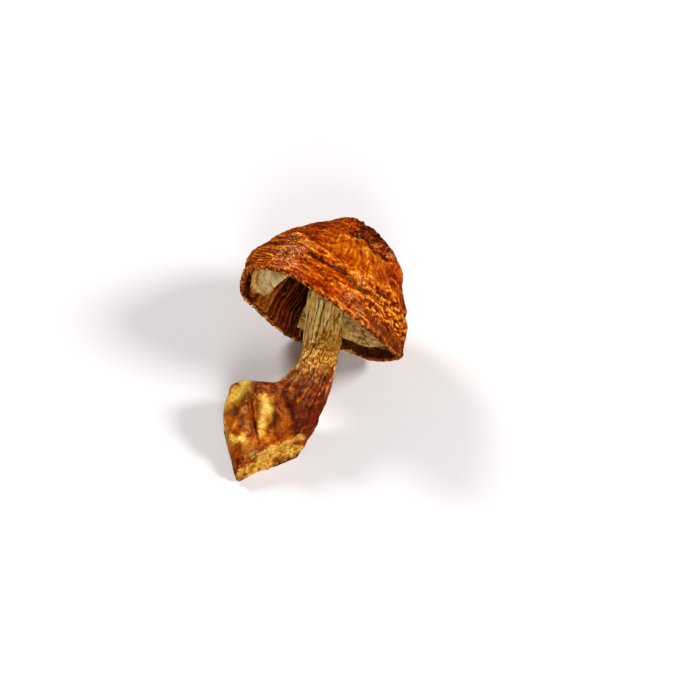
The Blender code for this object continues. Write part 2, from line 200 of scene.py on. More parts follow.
# Patches a few millimetres across, and specks of about half a millimetre
MOTTLE, SPECKS = (420.0, 4.0, 0.6), (1700.0, 3.0, 0.65)
print("Mottle is about", round(1000 / MOTTLE[0], 1), "mm across, specks", round(1000 / SPECKS[0], 1), "mm")

# %% [markdown]
# ## Light and table
#
# The picture was lit by large soft boxes on both sides and one in front, over a white sheet: the table is
# burnt out to white and the shadows are faint and double. A dim sky fills in, and three area lamps give the
# glints. The sky is kept out of the glossy rays, because its even white would wash the amber skin grey.

# %% Table
floor_finish, tree = new_finish("matt white paper")
shader = add_node(tree, "ShaderNodeBsdfPrincipled", {
    "Base Color": linear("#efeef1"), "Roughness": 0.9, "Specular IOR Level": 0.1,
})
add_node(tree, "ShaderNodeOutputMaterial", {"Surface": shader.outputs["BSDF"]})

FLOOR_HALF = 3.0
floor_mesh = bpy.data.meshes.new("floor")
corners = [(x * FLOOR_HALF, y * FLOOR_HALF, 0.0) for x, y in ((-1, -1), (1, -1), (1, 1), (-1, 1))]
floor_mesh.from_pydata(corners, [], [(0, 1, 2, 3)])
floor_mesh.materials.append(floor_finish)
floor = in_scene("floor", floor_mesh)
floor.visible_glossy = False
print("Table:", 2 * FLOOR_HALF, "m wide")

# %% Sky and lamps
SKY_STRENGTH = 0.15
sky = bpy.data.worlds.new("studio")
bpy.context.scene.world = sky
sky.use_nodes = True
sky.node_tree.nodes["Background"].inputs["Color"].default_value = linear("#fff9f4")
sky.node_tree.nodes["Background"].inputs["Strength"].default_value = SKY_STRENGTH
sky.cycles_visibility.glossy = False

# place (m), size (m), power (W)
LAMPS = {
    "right": ((0.52, 0.10, 0.46), 0.2, 3.7),
    "left": ((-0.50, 0.22, 0.48), 0.22, 3.1),
    "front": ((0.26, -0.54, 0.42), 0.26, 2.4),
}
LAMP_COLOUR = (1.0, 0.985, 0.96)
for name, (place, size, power) in LAMPS.items():
    lamp = bpy.data.lights.new(name, "AREA")
    lamp.shape = "DISK"
    lamp.size = size
    lamp.energy = power
    lamp.color = LAMP_COLOUR
    lamp_object = in_scene(name, lamp)
    lamp_object.location = place
    lamp_object.rotation_euler = Vector(place).to_track_quat("Z", "Y").to_euler()
bpy.context.scene.view_settings.view_transform = "Standard"
print("Lamps:", ", ".join(LAMPS))

# %% [markdown]
# ## The rules of shape
#
# A cap is a surface of revolution before it dries, so its profile is one formula: a superellipse between a
# circle and a diamond. Drying then waves the margin, leans the crown and presses a flat where it lay. The
# same rule moves the cap, the gills and the veil, so that they still fit each other.

# %% Dome
ROUNDNESS = 1.72
CAP_RADIUS, CAP_HEIGHT = 20.4, 24.3
FLESH_RADIUS, FLESH_HEIGHT = 19.0, 20.8
LIP_RADIUS = (CAP_RADIUS - FLESH_RADIUS) / 2


def dome_at(radius, height, share):
    """Radius and height on a dome's profile, from its mouth at share 0 to its crown at share 1."""
    angle = np.clip(share, 0.0, 1.0) * math.pi / 2
    power = 2 / ROUNDNESS
    return radius * np.cos(angle).clip(0.0) ** power, height * np.sin(angle).clip(0.0) ** power


def share_at_height(height, z):
    """The share along a dome of this height where it is z above its mouth."""
    return np.arcsin(np.clip(z / height, 0.0, 1.0) ** (ROUNDNESS / 2)) / (math.pi / 2)


def share_at_radius(radius, r):
    """The share along a dome of this radius where it is r from its axis."""
    return np.arccos(np.clip(r / radius, 0.0, 1.0) ** (ROUNDNESS / 2)) / (math.pi / 2)


half_way = [round(float(v), 1) for v in dome_at(CAP_RADIUS, CAP_HEIGHT, 0.5)]
print("Half way up, the cap's radius and height in mm:", half_way)

# %% Drying
# How far the margin stands above its plane in mm, all round in even steps
MARGIN_RISE = np.array([
    -1.9, -0.7, -0.1, -0.1, -0.1, 0.5, 0.5, -0.5, -1.2, -0.6, 0.1, 0.2,
    0.3, 2.4, 3.4, 2.9, 2.8, 2.3, 1.1, -0.1, -1.0, -1.8, -2.3, -2.5,
])
TABLE_TURN, TABLE_CHORD = 90.0, 0.955
LEAN, MARGIN_SHIFT = -1.6, -0.6


def smooth_curve(a, b, c, d, t):
    """The value at t between b and c on a smooth curve through four even steps."""
    return b + 0.5 * t * (c - a + t * (2 * a - 5 * b + 4 * c - d + t * (3 * b - a - 3 * c + d)))


def margin_wave(turn):
    """How far the dried margin stands above or below its plane at a turn in degrees."""
    place = turn % 360.0 / 360.0 * len(MARGIN_RISE)
    index = place.astype(int)
    near = [MARGIN_RISE[(index + k) % len(MARGIN_RISE)] for k in (-1, 0, 1, 2)]
    return smooth_curve(*near, place - index)


def dried(points):
    """Where drying left points (n, 3) of the turned cap, gills or veil."""
    x, y, z = points.T
    turn = np.degrees(np.arctan2(y, x))
    rise = np.clip(z / CAP_HEIGHT, 0.0, 1.0)
    near_margin = (1.0 - rise) ** 2
    off_table = np.radians((turn - TABLE_TURN + 180.0) % 360.0 - 180.0)
    chord = np.where(np.abs(off_table) < math.pi / 3, TABLE_CHORD / np.cos(off_table).clip(0.5), 1.0)
    squeeze = 1.0 - (1.0 - np.minimum(1.0, chord)) * near_margin
    return np.stack([
        x * squeeze + LEAN * np.sin(math.pi * rise) + MARGIN_SHIFT * near_margin,
        y * squeeze,
        z + margin_wave(turn) * near_margin,
    ], -1)


print("Margin stands from", MARGIN_RISE.min(), "to", MARGIN_RISE.max(), "mm off its plane")

# %% [markdown]
# ## Tools for wrinkles
#
# A wrinkle is either strewn or drawn. A strewn one is smooth noise folded over, which gives it the sharp
# crests or creases of a skin that is too large for its flesh. A drawn one is a line with a reach and a
# height. Steps and zones with soft edges say where each kind lives, since the kinds of wrinkle on a dried
# mushroom run into each other.

# %% Noise
# Noise is steepened by this before it is folded, so that it uses the whole range
FOLD_GAIN = 1.8


def grain(points, size, shift=(0.0, 0.0, 0.0)):
    """Smooth noise from -1 to 1 at each point, with bumps about size across (one number, or one an axis)."""
    places = points / np.array(size) + np.array(shift)
    return np.array([noise.noise(p) for p in places.reshape(-1, 3).tolist()]).reshape(points.shape[:-1])


def drifts(points, size, shifts):
    """Three noises as a vector at each point, which makes straight wrinkles wander."""
    return np.stack([grain(points, size, shift) for shift in shifts], -1)


def ridged(values):
    """Turns smooth noise into sharp crests, from -1 to 1."""
    return 1.0 - 2.0 * np.minimum(1.0, np.abs(values) * FOLD_GAIN)


def creased(values):
    """Turns smooth noise into round swells with sharp creases between them, from -1 to 1."""
    return 2.0 * np.minimum(1.0, np.abs(values) * FOLD_GAIN) - 1.0


print("Folded noise runs from", creased(np.zeros(1))[0], "to", creased(np.ones(1))[0])

# %% Lines
def off_line(points, line):
    """Distance from each point to a line through several points."""
    nearest = np.full(points.shape[:-1], np.inf)
    for start, end in zip(line, line[1:]):
        along = end - start
        share = np.clip((points - start) @ along / (along @ along), 0.0, 1.0)
        nearest = np.minimum(nearest, np.linalg.norm(points - start - share[..., None] * along, axis=-1))
    return nearest


def folded(points, folds):
    """Sum of the listed folds: each is (line, reach, height), a soft bank along a line."""
    total = np.zeros(points.shape[:-1])
    for line, reach, height in folds:
        total += height * np.exp(-((off_line(points, np.array(line, float)) / reach) ** 2))
    return total


print("A 1 mm fold is", folded(np.zeros((1, 3)), ((((0, 0, 0), (1, 0, 0)), 1.0, 1.0),))[0], "mm high on its line")

# %% Steps, zones and blurs
def step(value, first, last):
    """0 before first, 1 after last, with a smooth rise between them."""
    t = np.clip((value - first) / (last - first), 0.0, 1.0)
    return t * t * (3.0 - 2.0 * t)


def zone(turn, rise, turns, rises, soft_turn=8.0, soft_rise=1.6):
    """1 inside a patch of the dome between two turns and two heights, fading to 0 round it."""
    middle, half = (turns[0] + turns[1]) / 2, (turns[1] - turns[0]) / 2
    off = np.abs((turn - middle + 180.0) % 360.0 - 180.0)
    inside = 1.0 - step(off, half - soft_turn, half + soft_turn)
    low = step(rise, rises[0] - soft_rise, rises[0] + soft_rise)
    high = 1.0 - step(rise, rises[1] - soft_rise, rises[1] + soft_rise)
    return inside * low * high


def softened(grid, passes):
    """A grid of rings blurred by its neighbours; the last axis closes round, the first doesn't."""
    for _ in range(passes):
        grid = (np.roll(grid, 1, 1) + 2 * grid + np.roll(grid, -1, 1)) / 4
        ends = np.vstack([grid[:1], grid, grid[-1:]])
        grid = (ends[:-2] + 2 * grid + ends[2:]) / 4
    return grid


def unit(vectors):
    """The same directions with a length of one."""
    return vectors / np.linalg.norm(vectors, axis=-1, keepdims=True).clip(1e-6)


print("Half way through a step from 0 to 2:", step(1.0, 0.0, 2.0))

# %% [markdown]
# ## From rings to a skin
#
# The cap and the stem are both stacks of rings. One function sews the rings into a closed skin and stores
# the weights for its colours on the points. It also cuts the skin flat where it meets the table, because a
# drying mushroom sags until it has a flat to lie on.

# %% Flat underside
def lay_flat(mesh):
    """Cuts off what is below the table and closes the mesh with a flat face there."""
    shell = bmesh.new()
    shell.from_mesh(mesh)
    parts = shell.verts[:] + shell.edges[:] + shell.faces[:]
    cut = bmesh.ops.bisect_plane(shell, geom=parts, plane_co=(0, 0, 0), plane_no=(0, 0, 1), clear_inner=True)
    rim = [part for part in cut["geom_cut"] if isinstance(part, bmesh.types.BMEdge)]
    for face in bmesh.ops.holes_fill(shell, edges=rim)["faces"]:
        face.normal_update()
        face.smooth = False
        if face.normal.z > 0:
            face.normal_flip()
    shell.to_mesh(mesh)
    shell.free()


print("Skins are cut off at the table, Z = 0")

# %% Closed skins
def store(mesh, marks):
    """Stores marks by name, a number or a vector for each point of the mesh."""
    for key, values in marks.items():
        kind, member = ("FLOAT", "value") if values.ndim == 1 else ("FLOAT_VECTOR", "vector")
        mesh.attributes.new(key, kind, "POINT").data.foreach_set(member, values.ravel())


def triangles(mesh):
    return sum(len(face.vertices) - 2 for face in mesh.polygons)


def ring_mesh(name, rings, marks, finish):
    """A closed skin through rings (rows, columns, 3) in the cap's frame, with a pole for first and last."""
    rows, columns = rings.shape[:2]

    def listed(grid):
        """One value for each point: the poles take the mean of their ring."""
        inner = grid[1:-1].reshape(-1, *grid.shape[2:])
        return np.concatenate([[grid[0].mean(0)], inner, [grid[-1].mean(0)]])

    index = 1 + np.arange((rows - 2) * columns).reshape(rows - 2, columns)
    after = np.roll(index, -1, 1)
    quads = np.stack([index[:-1], index[1:], after[1:], after[:-1]], -1).reshape(-1, 4)
    last = int(index[-1, -1]) + 1
    fans = [(0, a, b) for a, b in zip(index[0].tolist(), after[0].tolist())]
    fans += [(last, b, a) for a, b in zip(index[-1].tolist(), after[-1].tolist())]
    mesh = bpy.data.meshes.new(name)
    mesh.from_pydata((on_table(listed(rings)) * MM).tolist(), [], quads.tolist() + fans)
    to_row = np.array(TO_ROW.to_3x3()).T
    for key, grid in marks.items():
        store(mesh, {key: listed(grid) @ to_row if grid.ndim == 3 else listed(grid)})
    mesh.materials.append(finish)
    mesh.shade_smooth()
    lay_flat(mesh)
    print(name, len(mesh.vertices), "points,", triangles(mesh), "triangles")
    return in_scene(name, mesh)


print("One skin through many rings, with a pole at each end")

# %% [markdown]
# ## The cap's folds
#
# A fresh cap is smooth. As it dries the flesh shrinks and the skin does not, so it wrinkles. The few large
# folds that anyone would know this cap by are drawn as lines on the dome: first broad banks and hollows,
# then the sharp crests and creases that ride on them.

# %% Cap folds
# A line of (turn, height above the margin in mm), then reach and height in mm
CAP_FOLDS = (
    (((254, 8.9), (270, 8.7), (289, 8.9), (303, 8.7), (316, 8.9), (327, 9.9), (338, 10.3)), 1.4, 0.45),
    (((270, 6.7), (295, 6.6), (308, 6.0), (318, 6.8), (328, 7.8), (338, 8.0)), 1.2, -0.5),
    (((297, 17.2), (302, 14.6), (307, 12.2), (309, 10.4)), 1.2, 0.6),
    (((258, 21.4), (280, 22.8)), 1.9, 0.6),
    (((212, 9.5), (224, 14.0), (240, 18.0)), 4.5, -0.9),
    (((298, 23.0), (318, 21.9)), 1.8, -0.85),
    (((336, 18.4), (346, 17.0), (352, 15.0)), 2.6, 0.9),
    (((240, 23.2), (272, 23.6)), 2.4, 0.6),
    (((286, 18.6), (300, 18.2), (314, 17.4), (328, 17.2)), 1.5, -0.7),
    (((222, 10.0), (236, 11.6), (248, 11.8), (258, 10.4), (268, 9.6)), 1.3, 0.55),
    (((196, 6.2), (206, 6.6), (218, 5.6)), 2.6, 0.5),
    (((372, 9.6), (392, 10.4), (420, 8.8), (446, 9.8)), 1.5, 0.6),
    (((2, 6.0), (18, 6.2)), 1.6, 0.6),
    (((376, 7.2), (394, 8.0), (422, 6.6)), 1.4, -0.6),
    (((110, 11.6), (132, 10.2), (158, 12.0), (182, 10.8)), 1.5, 0.6),
    (((62, 15.4), (84, 14.2), (108, 15.8)), 1.4, -0.5),
    (((20, 18.6), (28, 15.0), (24, 12.0)), 1.3, 0.5),
    (((150, 19.0), (144, 15.8), (150, 12.8)), 1.3, 0.5),
)
print("Cap folds:", len(CAP_FOLDS))

# %% Cap creases
# The same for the sharp crests and creases that ride on them
CAP_CREASES = (
    (((245.6, 8.6), (250, 8.9), (257, 8.8), (263, 8.3), (270, 8.0), (278.6, 7.8), (284.7, 8.0), (289, 8.6),
      (293, 8.2), (297, 8.3), (302.5, 8.9)), 0.34, 0.34),
    (((281, 7.5), (284.5, 7.5), (288.6, 7.7), (294.8, 7.6)), 0.3, -0.36),
    (((303.7, 7.7), (305.5, 7.1), (309.7, 7.0), (314, 7.2), (318.8, 8.3), (324.7, 9.3), (330.7, 9.5),
      (335.2, 9.5)), 0.4, 0.42),
    (((294.6, 6.5), (299.3, 7.0), (303.3, 6.3), (308, 6.0), (312.5, 6.5), (319, 7.8), (326.5, 8.9),
      (332.9, 9.1), (336.7, 8.9)), 0.38, -0.55),
    (((302.3, 14.3), (303.9, 13.3), (305.4, 11.6), (305.4, 9.3), (304.8, 8.0), (305, 7.1)), 0.3, 0.34),
    (((305.2, 13.9), (306.8, 12.1), (306.9, 10.6), (306.8, 8.7)), 0.28, -0.34),
    (((308.3, 10.0), (309.6, 8.9), (309.5, 7.7), (309.8, 7.1)), 0.28, 0.28),
    (((288.7, 15.4), (288.8, 13.2), (290.1, 11.0)), 0.26, -0.22),
    (((293.3, 14.9), (296.1, 13.3), (297.7, 11.7)), 0.26, -0.22),
    (((296.4, 15.5), (299.4, 13.9), (301.1, 12.4)), 0.26, -0.2),
    (((282.5, 12.9), (284.1, 11.1), (283.9, 9.8)), 0.28, -0.2),
    (((284.2, 13.8), (285.8, 12.1), (286.0, 10.4)), 0.26, -0.16),
    (((262.7, 18.5), (266.4, 18.3), (270.7, 18.7), (275.8, 18.9), (276.9, 19.8), (275.3, 21.1)), 0.4, -0.45),
    (((270.6, 18.0), (273.7, 18.6), (276.7, 19.3)), 0.35, 0.3),
    (((285.5, 17.7), (285.6, 16.4), (284.3, 15.4), (281.3, 14.8)), 0.36, -0.4),
    (((286.1, 16.3), (290.2, 16.0), (294.5, 16.1)), 0.4, 0.3),
    (((240.7, 10.6), (245, 11.0), (248.5, 11.7)), 0.36, 0.28),
    (((242.5, 9.9), (249.9, 10.1)), 0.3, -0.3),
    (((246.8, 8.1), (251.7, 8.4), (256.9, 8.4)), 0.28, -0.32),
    (((256.7, 9.0), (261.7, 9.3)), 0.28, -0.28),
    (((245.2, 8.2), (251, 8.7), (257.1, 8.8)), 0.28, 0.2),
    (((296.3, 3.1), (299.5, 4.1), (303.6, 4.7)), 0.36, 0.26),
    (((298.9, 0.7), (300.5, 1.9), (301.2, 2.9)), 0.32, -0.36),
    (((239, 18.2), (256, 19.6), (275, 20.6), (295, 21.4)), 0.6, 0.3),
    (((217, 9.5), (226, 10.6), (236, 11.7), (249.5, 11.7), (257.5, 10.4), (266, 9.3)), 0.42, 0.26),
    (((316, 17.5), (312.6, 15.9), (315.5, 15.3)), 0.6, -0.3),
    (((332.2, 17.4), (338.3, 17.0)), 0.8, -0.5),
    (((277, 20.8), (289, 19.2), (301, 18.4), (313, 18.2), (326, 18.7), (346, 18.6)), 0.5, -0.35),
)
print("Cap crests and creases:", len(CAP_CREASES))

# %% Lines on the dome
def on_dome(turn, rise):
    """The point of the cap's outer dome at a turn in degrees and a height in mm."""
    r, z = dome_at(CAP_RADIUS, CAP_HEIGHT, share_at_height(CAP_HEIGHT, rise))
    return r * math.cos(math.radians(turn)), r * math.sin(math.radians(turn)), z


def placed(folds):
    return [([on_dome(*place) for place in line], reach, height) for line, reach, height in folds]


print("First fold starts at", [round(float(v), 1) for v in on_dome(*CAP_FOLDS[0][0][0])], "mm")

# %% [markdown]
# ## The cap's wrinkles
#
# The grid runs from the crown down the outside, round the lip and up the inside. Fine wrinkles are noise,
# stretched the way they run: level ripples near the margin, rays near the crown, and a maze of glossy worms
# where both meet. Each kind is held to its own patch, as on a real cap, where they follow how fast each
# part dried.

# %% Cap grid
# Finer columns on the side that shows most, coarser ones where it lies on the table
SEEN_FROM, SEEN_STEP, FAR_STEP = 185.0, 0.6, 1.0
cap_turns = np.concatenate([np.arange(SEEN_FROM, 360.0, SEEN_STEP), np.arange(0.0, SEEN_FROM, FAR_STEP)])
OUTER_ROWS, LIP_ROWS, INNER_ROWS = 168, 10, 14
outer_r, outer_z = dome_at(CAP_RADIUS, CAP_HEIGHT, np.linspace(1.0, 0.0, OUTER_ROWS))
lip_angles = np.radians(np.linspace(16.0, 164.0, LIP_ROWS))
lip_r = CAP_RADIUS - LIP_RADIUS + LIP_RADIUS * np.cos(lip_angles)
lip_z = -LIP_RADIUS * np.sin(lip_angles)
inner_r, inner_z = dome_at(FLESH_RADIUS, FLESH_HEIGHT, np.linspace(0.0, 1.0, INNER_ROWS) ** 1.5)
profile_r = np.concatenate([outer_r, lip_r, inner_r])[:, None]
profile_z = np.concatenate([outer_z, lip_z, inner_z])[:, None]
angles = np.radians(cap_turns)
cap_rings = np.stack([profile_r * np.cos(angles), profile_r * np.sin(angles), profile_z + 0 * angles], -1)

rise = cap_rings[..., 2]
turn = cap_turns + 0 * rise
row = np.arange(len(rise))[:, None] + 0 * rise
on_outside = 1.0 - step(row, OUTER_ROWS - 6, OUTER_ROWS + 2)
inside = step(row, OUTER_ROWS + 6, OUTER_ROWS + LIP_ROWS)
print("Cap grid:", rise.shape)

# %% Broad swells of the cap
# The wrinkles radiate from a point a little off the axis, and fade there so that they don't make a star
RAY_CENTRE = (-2.6, 1.5, 0.0)
BROAD_HEIGHT = 0.26
spoke = (cap_rings - RAY_CENTRE) * (1, 1, 0)
off_axis = step(np.linalg.norm(spoke, axis=-1), 1.5, 6.5)
spoke = unit(spoke)
high = np.clip(rise / CAP_HEIGHT * 1.6 - 0.5, 0.0, 1.0)
level = ridged(grain(cap_rings, (7.0, 7.0, 3.0)))
broad_ray = grain(np.stack([spoke[..., 0] * 3.2, spoke[..., 1] * 3.2, rise / 14.0 + 7.0], -1), 1.0)
broad = BROAD_HEIGHT * (level * (1.0 - 0.7 * high) + ridged(broad_ray) * 0.8 * high * off_axis)
print("Broad swells in mm:", round(float(broad.min()), 2), "to", round(float(broad.max()), 2))

# %% Kinds of small wrinkle
drift = drifts(cap_rings, 2.2, ((11, 0, 0), (23, 0, 0), (37, 0, 0)))
shiver = drifts(cap_rings, 0.8, ((13, 5, 0), (29, 5, 0), (31, 5, 0)))
warped = cap_rings + 0.7 * drift + 0.3 * shiver
ripples = creased(grain(cap_rings + 0.5 * drift + 0.2 * shiver, (3.0, 3.0, 0.8), (3, 1, 7)))
fine_ripples = creased(grain(warped, (1.0, 1.0, 0.42), (6, 1, 2)))
worms = creased(grain(cap_rings + 0.9 * drift, (1.7, 1.7, 0.9), (5, 9, 2)))
fine_worms = creased(grain(warped, (0.75, 0.75, 0.6), (2, 2, 8)))
ray_at = np.stack([spoke[..., 0] * 12.0, spoke[..., 1] * 12.0, rise / 5.0], -1) + 0.35 * drift
rays = creased(grain(ray_at, 1.0, (2, 4, 1)))
crackle = creased(grain(warped, 1.1, (8, 8, 3)))
pebbles = grain(cap_rings, 0.45, (1, 5, 2))
patchy = 0.5 + 0.5 * grain(cap_rings, (3.4, 3.4, 2.0), (4, 8, 1))
print("Kinds: ripples, worms, rays, crackle and pebbles at", rise.size, "points each")

# %% Patches of the cap
LADDER_STEP = 0.85
worm_zone = zone(turn, rise, (311, 362), (2.6, 8.2), 7.0, 1.0)
ray_zone = zone(turn, rise, (270, 322), (9.8, 17.0), 10.0, 1.2)
smooth_zone = zone(turn, rise, (318, 352), (10.0, 16.5), 7.0, 1.2)
crown_zone = step(rise + 0.9 * drift[..., 0], 17.5, 18.6)
crown_zone *= 0.2 + 0.8 * zone(turn, rise, (286, 372), (10, 40), 8.0, 1.5)
crown_zone = np.maximum(crown_zone, 0.8 * zone(turn, rise, (228, 300), (22.3, 40), 12.0, 0.6))
crown_zone *= 0.7 + 0.3 * step(crackle + 1.4 * grain(cap_rings, 1.9, (2, 6, 3)), -0.9, 0.1)
skirt_zone = 1.0 - step(rise, 2.0, 4.2)
ladder = np.cos(math.tau * rise / LADDER_STEP + 2.8 * drift[..., 1])
ladder *= zone(turn, rise, (216, 238), (0.6, 7.4), 5.0, 0.8)
ripple_zone = (1.0 - step(rise, 8.0, 11.0)) * (1.0 - worm_zone)
named = np.maximum.reduce([worm_zone, ray_zone, smooth_zone, crown_zone, ripple_zone])
other = (1.0 - named).clip(0.0)
for name, part in (("worms", worm_zone), ("rays", ray_zone), ("crown", crown_zone), ("ripples", ripple_zone)):
    print(name, "cover", round(100 * float(part[:OUTER_ROWS].mean())), "% of the outer rows")

# %% Relief of the cap
# Heights in mm
fine = (0.11 * ripples * (0.3 + 0.7 * patchy) + 0.08 * fine_ripples) * ripple_zone * (1.0 - 0.4 * skirt_zone)
fine += (0.3 * worms + 0.14 * fine_worms) * worm_zone * (0.55 + 0.45 * patchy)
fine += 0.11 * ladder * (0.4 + 0.6 * patchy)
fine += (0.09 * rays + 0.03 * fine_worms) * ray_zone * off_axis + 0.04 * crackle * smooth_zone
fine += (0.13 * crackle + 0.08 * fine_worms + 0.20 * grain(cap_rings, 2.4, (7, 3, 3))) * crown_zone
fine += (0.09 * ripples * patchy + 0.06 * crackle + 0.03 * fine_ripples) * other + 0.02 * pebbles

lines = folded(cap_rings + 0.25 * drift + 0.12 * shiver, placed(CAP_CREASES))
broken = 0.25 + 0.75 * step(grain(cap_rings, (1.6, 1.6, 1.1), (3, 3, 9)), -0.35, 0.3)
height = broad + folded(cap_rings, placed(CAP_FOLDS)) + 0.75 * lines * np.where(lines > 0, broken, 1.0) + fine
height *= on_outside
LIP_BUMPS = 0.26
lip_bumps = grain(cap_rings, (1.1, 1.1, 0.8), (4, 4, 4)) + 0.8 * grain(cap_rings, 0.45, (9, 1, 4))
height += LIP_BUMPS * lip_bumps * (1.0 - on_outside) * (1.0 - inside)

outward = unit(np.stack([cap_rings[..., 0], cap_rings[..., 1], rise * CAP_RADIUS / CAP_HEIGHT], -1))
cap_points = dried((cap_rings + outward * height[..., None]).reshape(-1, 3)).reshape(cap_rings.shape)
print("Cap relief in mm:", round(float(height.min()), 2), "to", round(float(height.max()), 2))

# %% [markdown]
# ## The finish of the skin
#
# Dried cap skin shines like waxed leather. It is amber; its creases are painted deep red-brown, as painted shade,
# and its crests gold, as painted highlight. Its shine is tinted gold, because some of it comes from just under
# the clear surface. The relief stored on the mesh drives the colour, so it follows every wrinkle from any side.

# %% Skin finish
# Colours from crease to crest: first for the whole skin, then for each patch over it
SKIN_LAYERS = (
    (None, ((0.2, "#1c0201"), (0.34, "#500f01"), (0.44, "#8a2602"), (0.53, "#b03e02"), (0.64, "#c65e05"),
            (0.8, "#f0aa2c"))),
    ("gold", ((0.2, "#541401"), (0.36, "#963202"), (0.52, "#ba5002"), (0.66, "#d67c0c"), (0.82, "#f8c04a"))),
    ("russet", ((0.2, "#200602"), (0.4, "#5c1e06"), (0.55, "#7e330c"), (0.7, "#9c5018"), (0.85, "#c08038"))),
    ("crown", ((0.25, "#0e0202"), (0.42, "#2c0703"), (0.56, "#4e1406"), (0.7, "#762c10"), (0.86, "#a86034"))),
    # Painted highlight on the sharp crests
    ("crest_glint", ((0.25, "#a85a08"), (0.45, "#d88c18"), (0.65, "#f6be48"))),
    ("lip", ((0.25, "#3a0f03"), (0.42, "#8a3606"), (0.53, "#b0560f"), (0.64, "#d8842c"), (0.76, "#f6c878"))),
    ("inside", ((0.25, "#140504"), (0.45, "#2e0f08"), (0.6, "#5a2810"), (0.75, "#8a4c20"))),
)
skin_finish = layered_finish(
    "dried glossy mushroom skin",
    noises={"mottle": MOTTLE, "specks": SPECKS},
    shade=(("relief", 0.235), ("mottle", 0.55), ("specks", 0.45)),
    layers=SKIN_LAYERS,
    roughness=(0.27, ("inside", 0.35), ("relief", -0.11)), shine=(1.5, 0.6, "#ffc468"),
    bump=("specks", 0.7, 0.00015),
)

# %% [markdown]
# ## The cap in one piece
#
# The colour patches follow the wrinkles: golden rays, a dark crown and russet skin low on the right. Sharp crests
# are painted pale gold as a painted highlight, most on the worms, the rays and the ladder of ripples. The lip has
# weights of its own, for its tan edge and for the crumbs that cling to it.

# %% Colours of the cap
# The relief darkens the creases and lightens the crests in the colour: painted shade and painted highlight.
tinted = height - 0.45 * lines * on_outside
sharp = tinted - softened(tinted, 8)
relief = np.clip(sharp / 0.1, -1.0, 1.0)
# Painted highlight: the sharpest crests are painted pale gold where they would catch the lamps.
glint_share = 0.15 + 0.45 * worm_zone + 0.5 * ray_zone + 1.2 * np.abs(ladder) + 0.3 * ripple_zone * patchy
crest_glint = step(sharp, 0.07, 0.2) * np.clip(glint_share, 0.0, 1.0)
crest_glint *= on_outside * step(grain(cap_rings, 1.3, (5, 5, 1)), -0.25, 0.25)
gold = np.clip(ray_zone + 0.12 * smooth_zone + 0.2 * worm_zone + 0.3 * np.abs(ladder), 0.0, 1.0)
russet = zone(turn, rise, (316, 372), (-4, 2.6), 9.0, 1.2)
russet = np.maximum(russet, 0.7 * zone(turn, rise, (302, 318), (0.8, 3.0), 5.0, 0.8))
on_lip = step(row, OUTER_ROWS - 3, OUTER_ROWS + 1) * (1.0 - step(row, OUTER_ROWS + 6, OUTER_ROWS + 9))
lip = on_lip * (0.35 + 0.65 * zone(turn, 0 * rise, (70, 170), (-1, 1)))
crumbs = on_lip * zone(turn, 0 * rise, (66, 172), (-1, 1))
# The pale gold crests counted here are a painted highlight.
print("Worn crests cover", round(100 * float((crest_glint > 0.5)[:OUTER_ROWS].mean())), "% of the outer rows")

# %% Cap piece
cap = ring_mesh("cap_skin", cap_points, {
    "relief": relief, "gold": gold, "russet": russet, "crown": np.clip(crown_zone, 0.0, 1.0), "crest_glint": crest_glint,
    "along": np.roll(cap_points, -1, 1) - np.roll(cap_points, 1, 1), "crumbs": crumbs, "lip": lip,
    "inside": inside,
}, skin_finish)
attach(cap, "root")
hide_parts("cap")

# %% [markdown]
# ## The finish of the gills
#
# Ripe gills are chocolate to black with spores, and dry to rust-red along their thin edges. Each blade has its
# own tone. The blades are painted darker towards their roots and deeper in the cap, as painted shade, and lighter
# at their outer ends near the margin, as painted light. They are nearly matt.

# %% Gill finish
GILL_LAYERS = (
    (None, ((0.3, "#0a0300"), (0.43, "#2a0b02"), (0.55, "#6c2205"), (0.67, "#9e4810"), (0.82, "#cc842e"))),
)
gill_finish = layered_finish(
    "dry dark gill flesh",
    noises={"fibre": (700.0, 4.0, 0.65)},
    # The depth weight darkens the blades towards their roots, and the weight near the margin lightens their outer
    # ends: painted shade and painted light.
    shade=(("depth", 0.06), ("tone", 0.28), ("outer_painted_light", 0.13), ("fibre", 0.6)),
    layers=GILL_LAYERS,
    roughness=(0.5,), shine=(1.45, 0.25, "#ffb468"), bump=("fibre", 0.6, 0.0002),
)

# %% [markdown]
# ## The gills
#
# Gills repeat by a rule, so Geometry Nodes make them: two blades, a long one that nearly reaches the stem and
# a short one, are set round the stem like pages, every third one long. Drying makes them lean together in
# clumps, so each place is jittered and each blade gets its own thickness and tone. The blades are shaped once
# between the dome that they hang from and the dome that they end on.

# %% Gill blade
GILL_RADIUS, GILL_HEIGHT = 17.5, 16.0
ROOT_RADIUS, ROOT_HEIGHT = FLESH_RADIUS + 0.3, FLESH_HEIGHT + 0.3
GILL_START, EDGE_SETBACK = 0.05, 1.6
GILL_THICKNESS = 0.42
LONG_REACH, SHORT_REACH = 5.6, 13.0
# How deep and how far to one side the points of a blade's ring are
BLADE_RING = ((0.0, 1.0), (0.55, 0.8), (1.0, 0.4), (1.0, -0.4), (0.55, -0.8), (0.0, -1.0))
BLADE_STEPS = 12


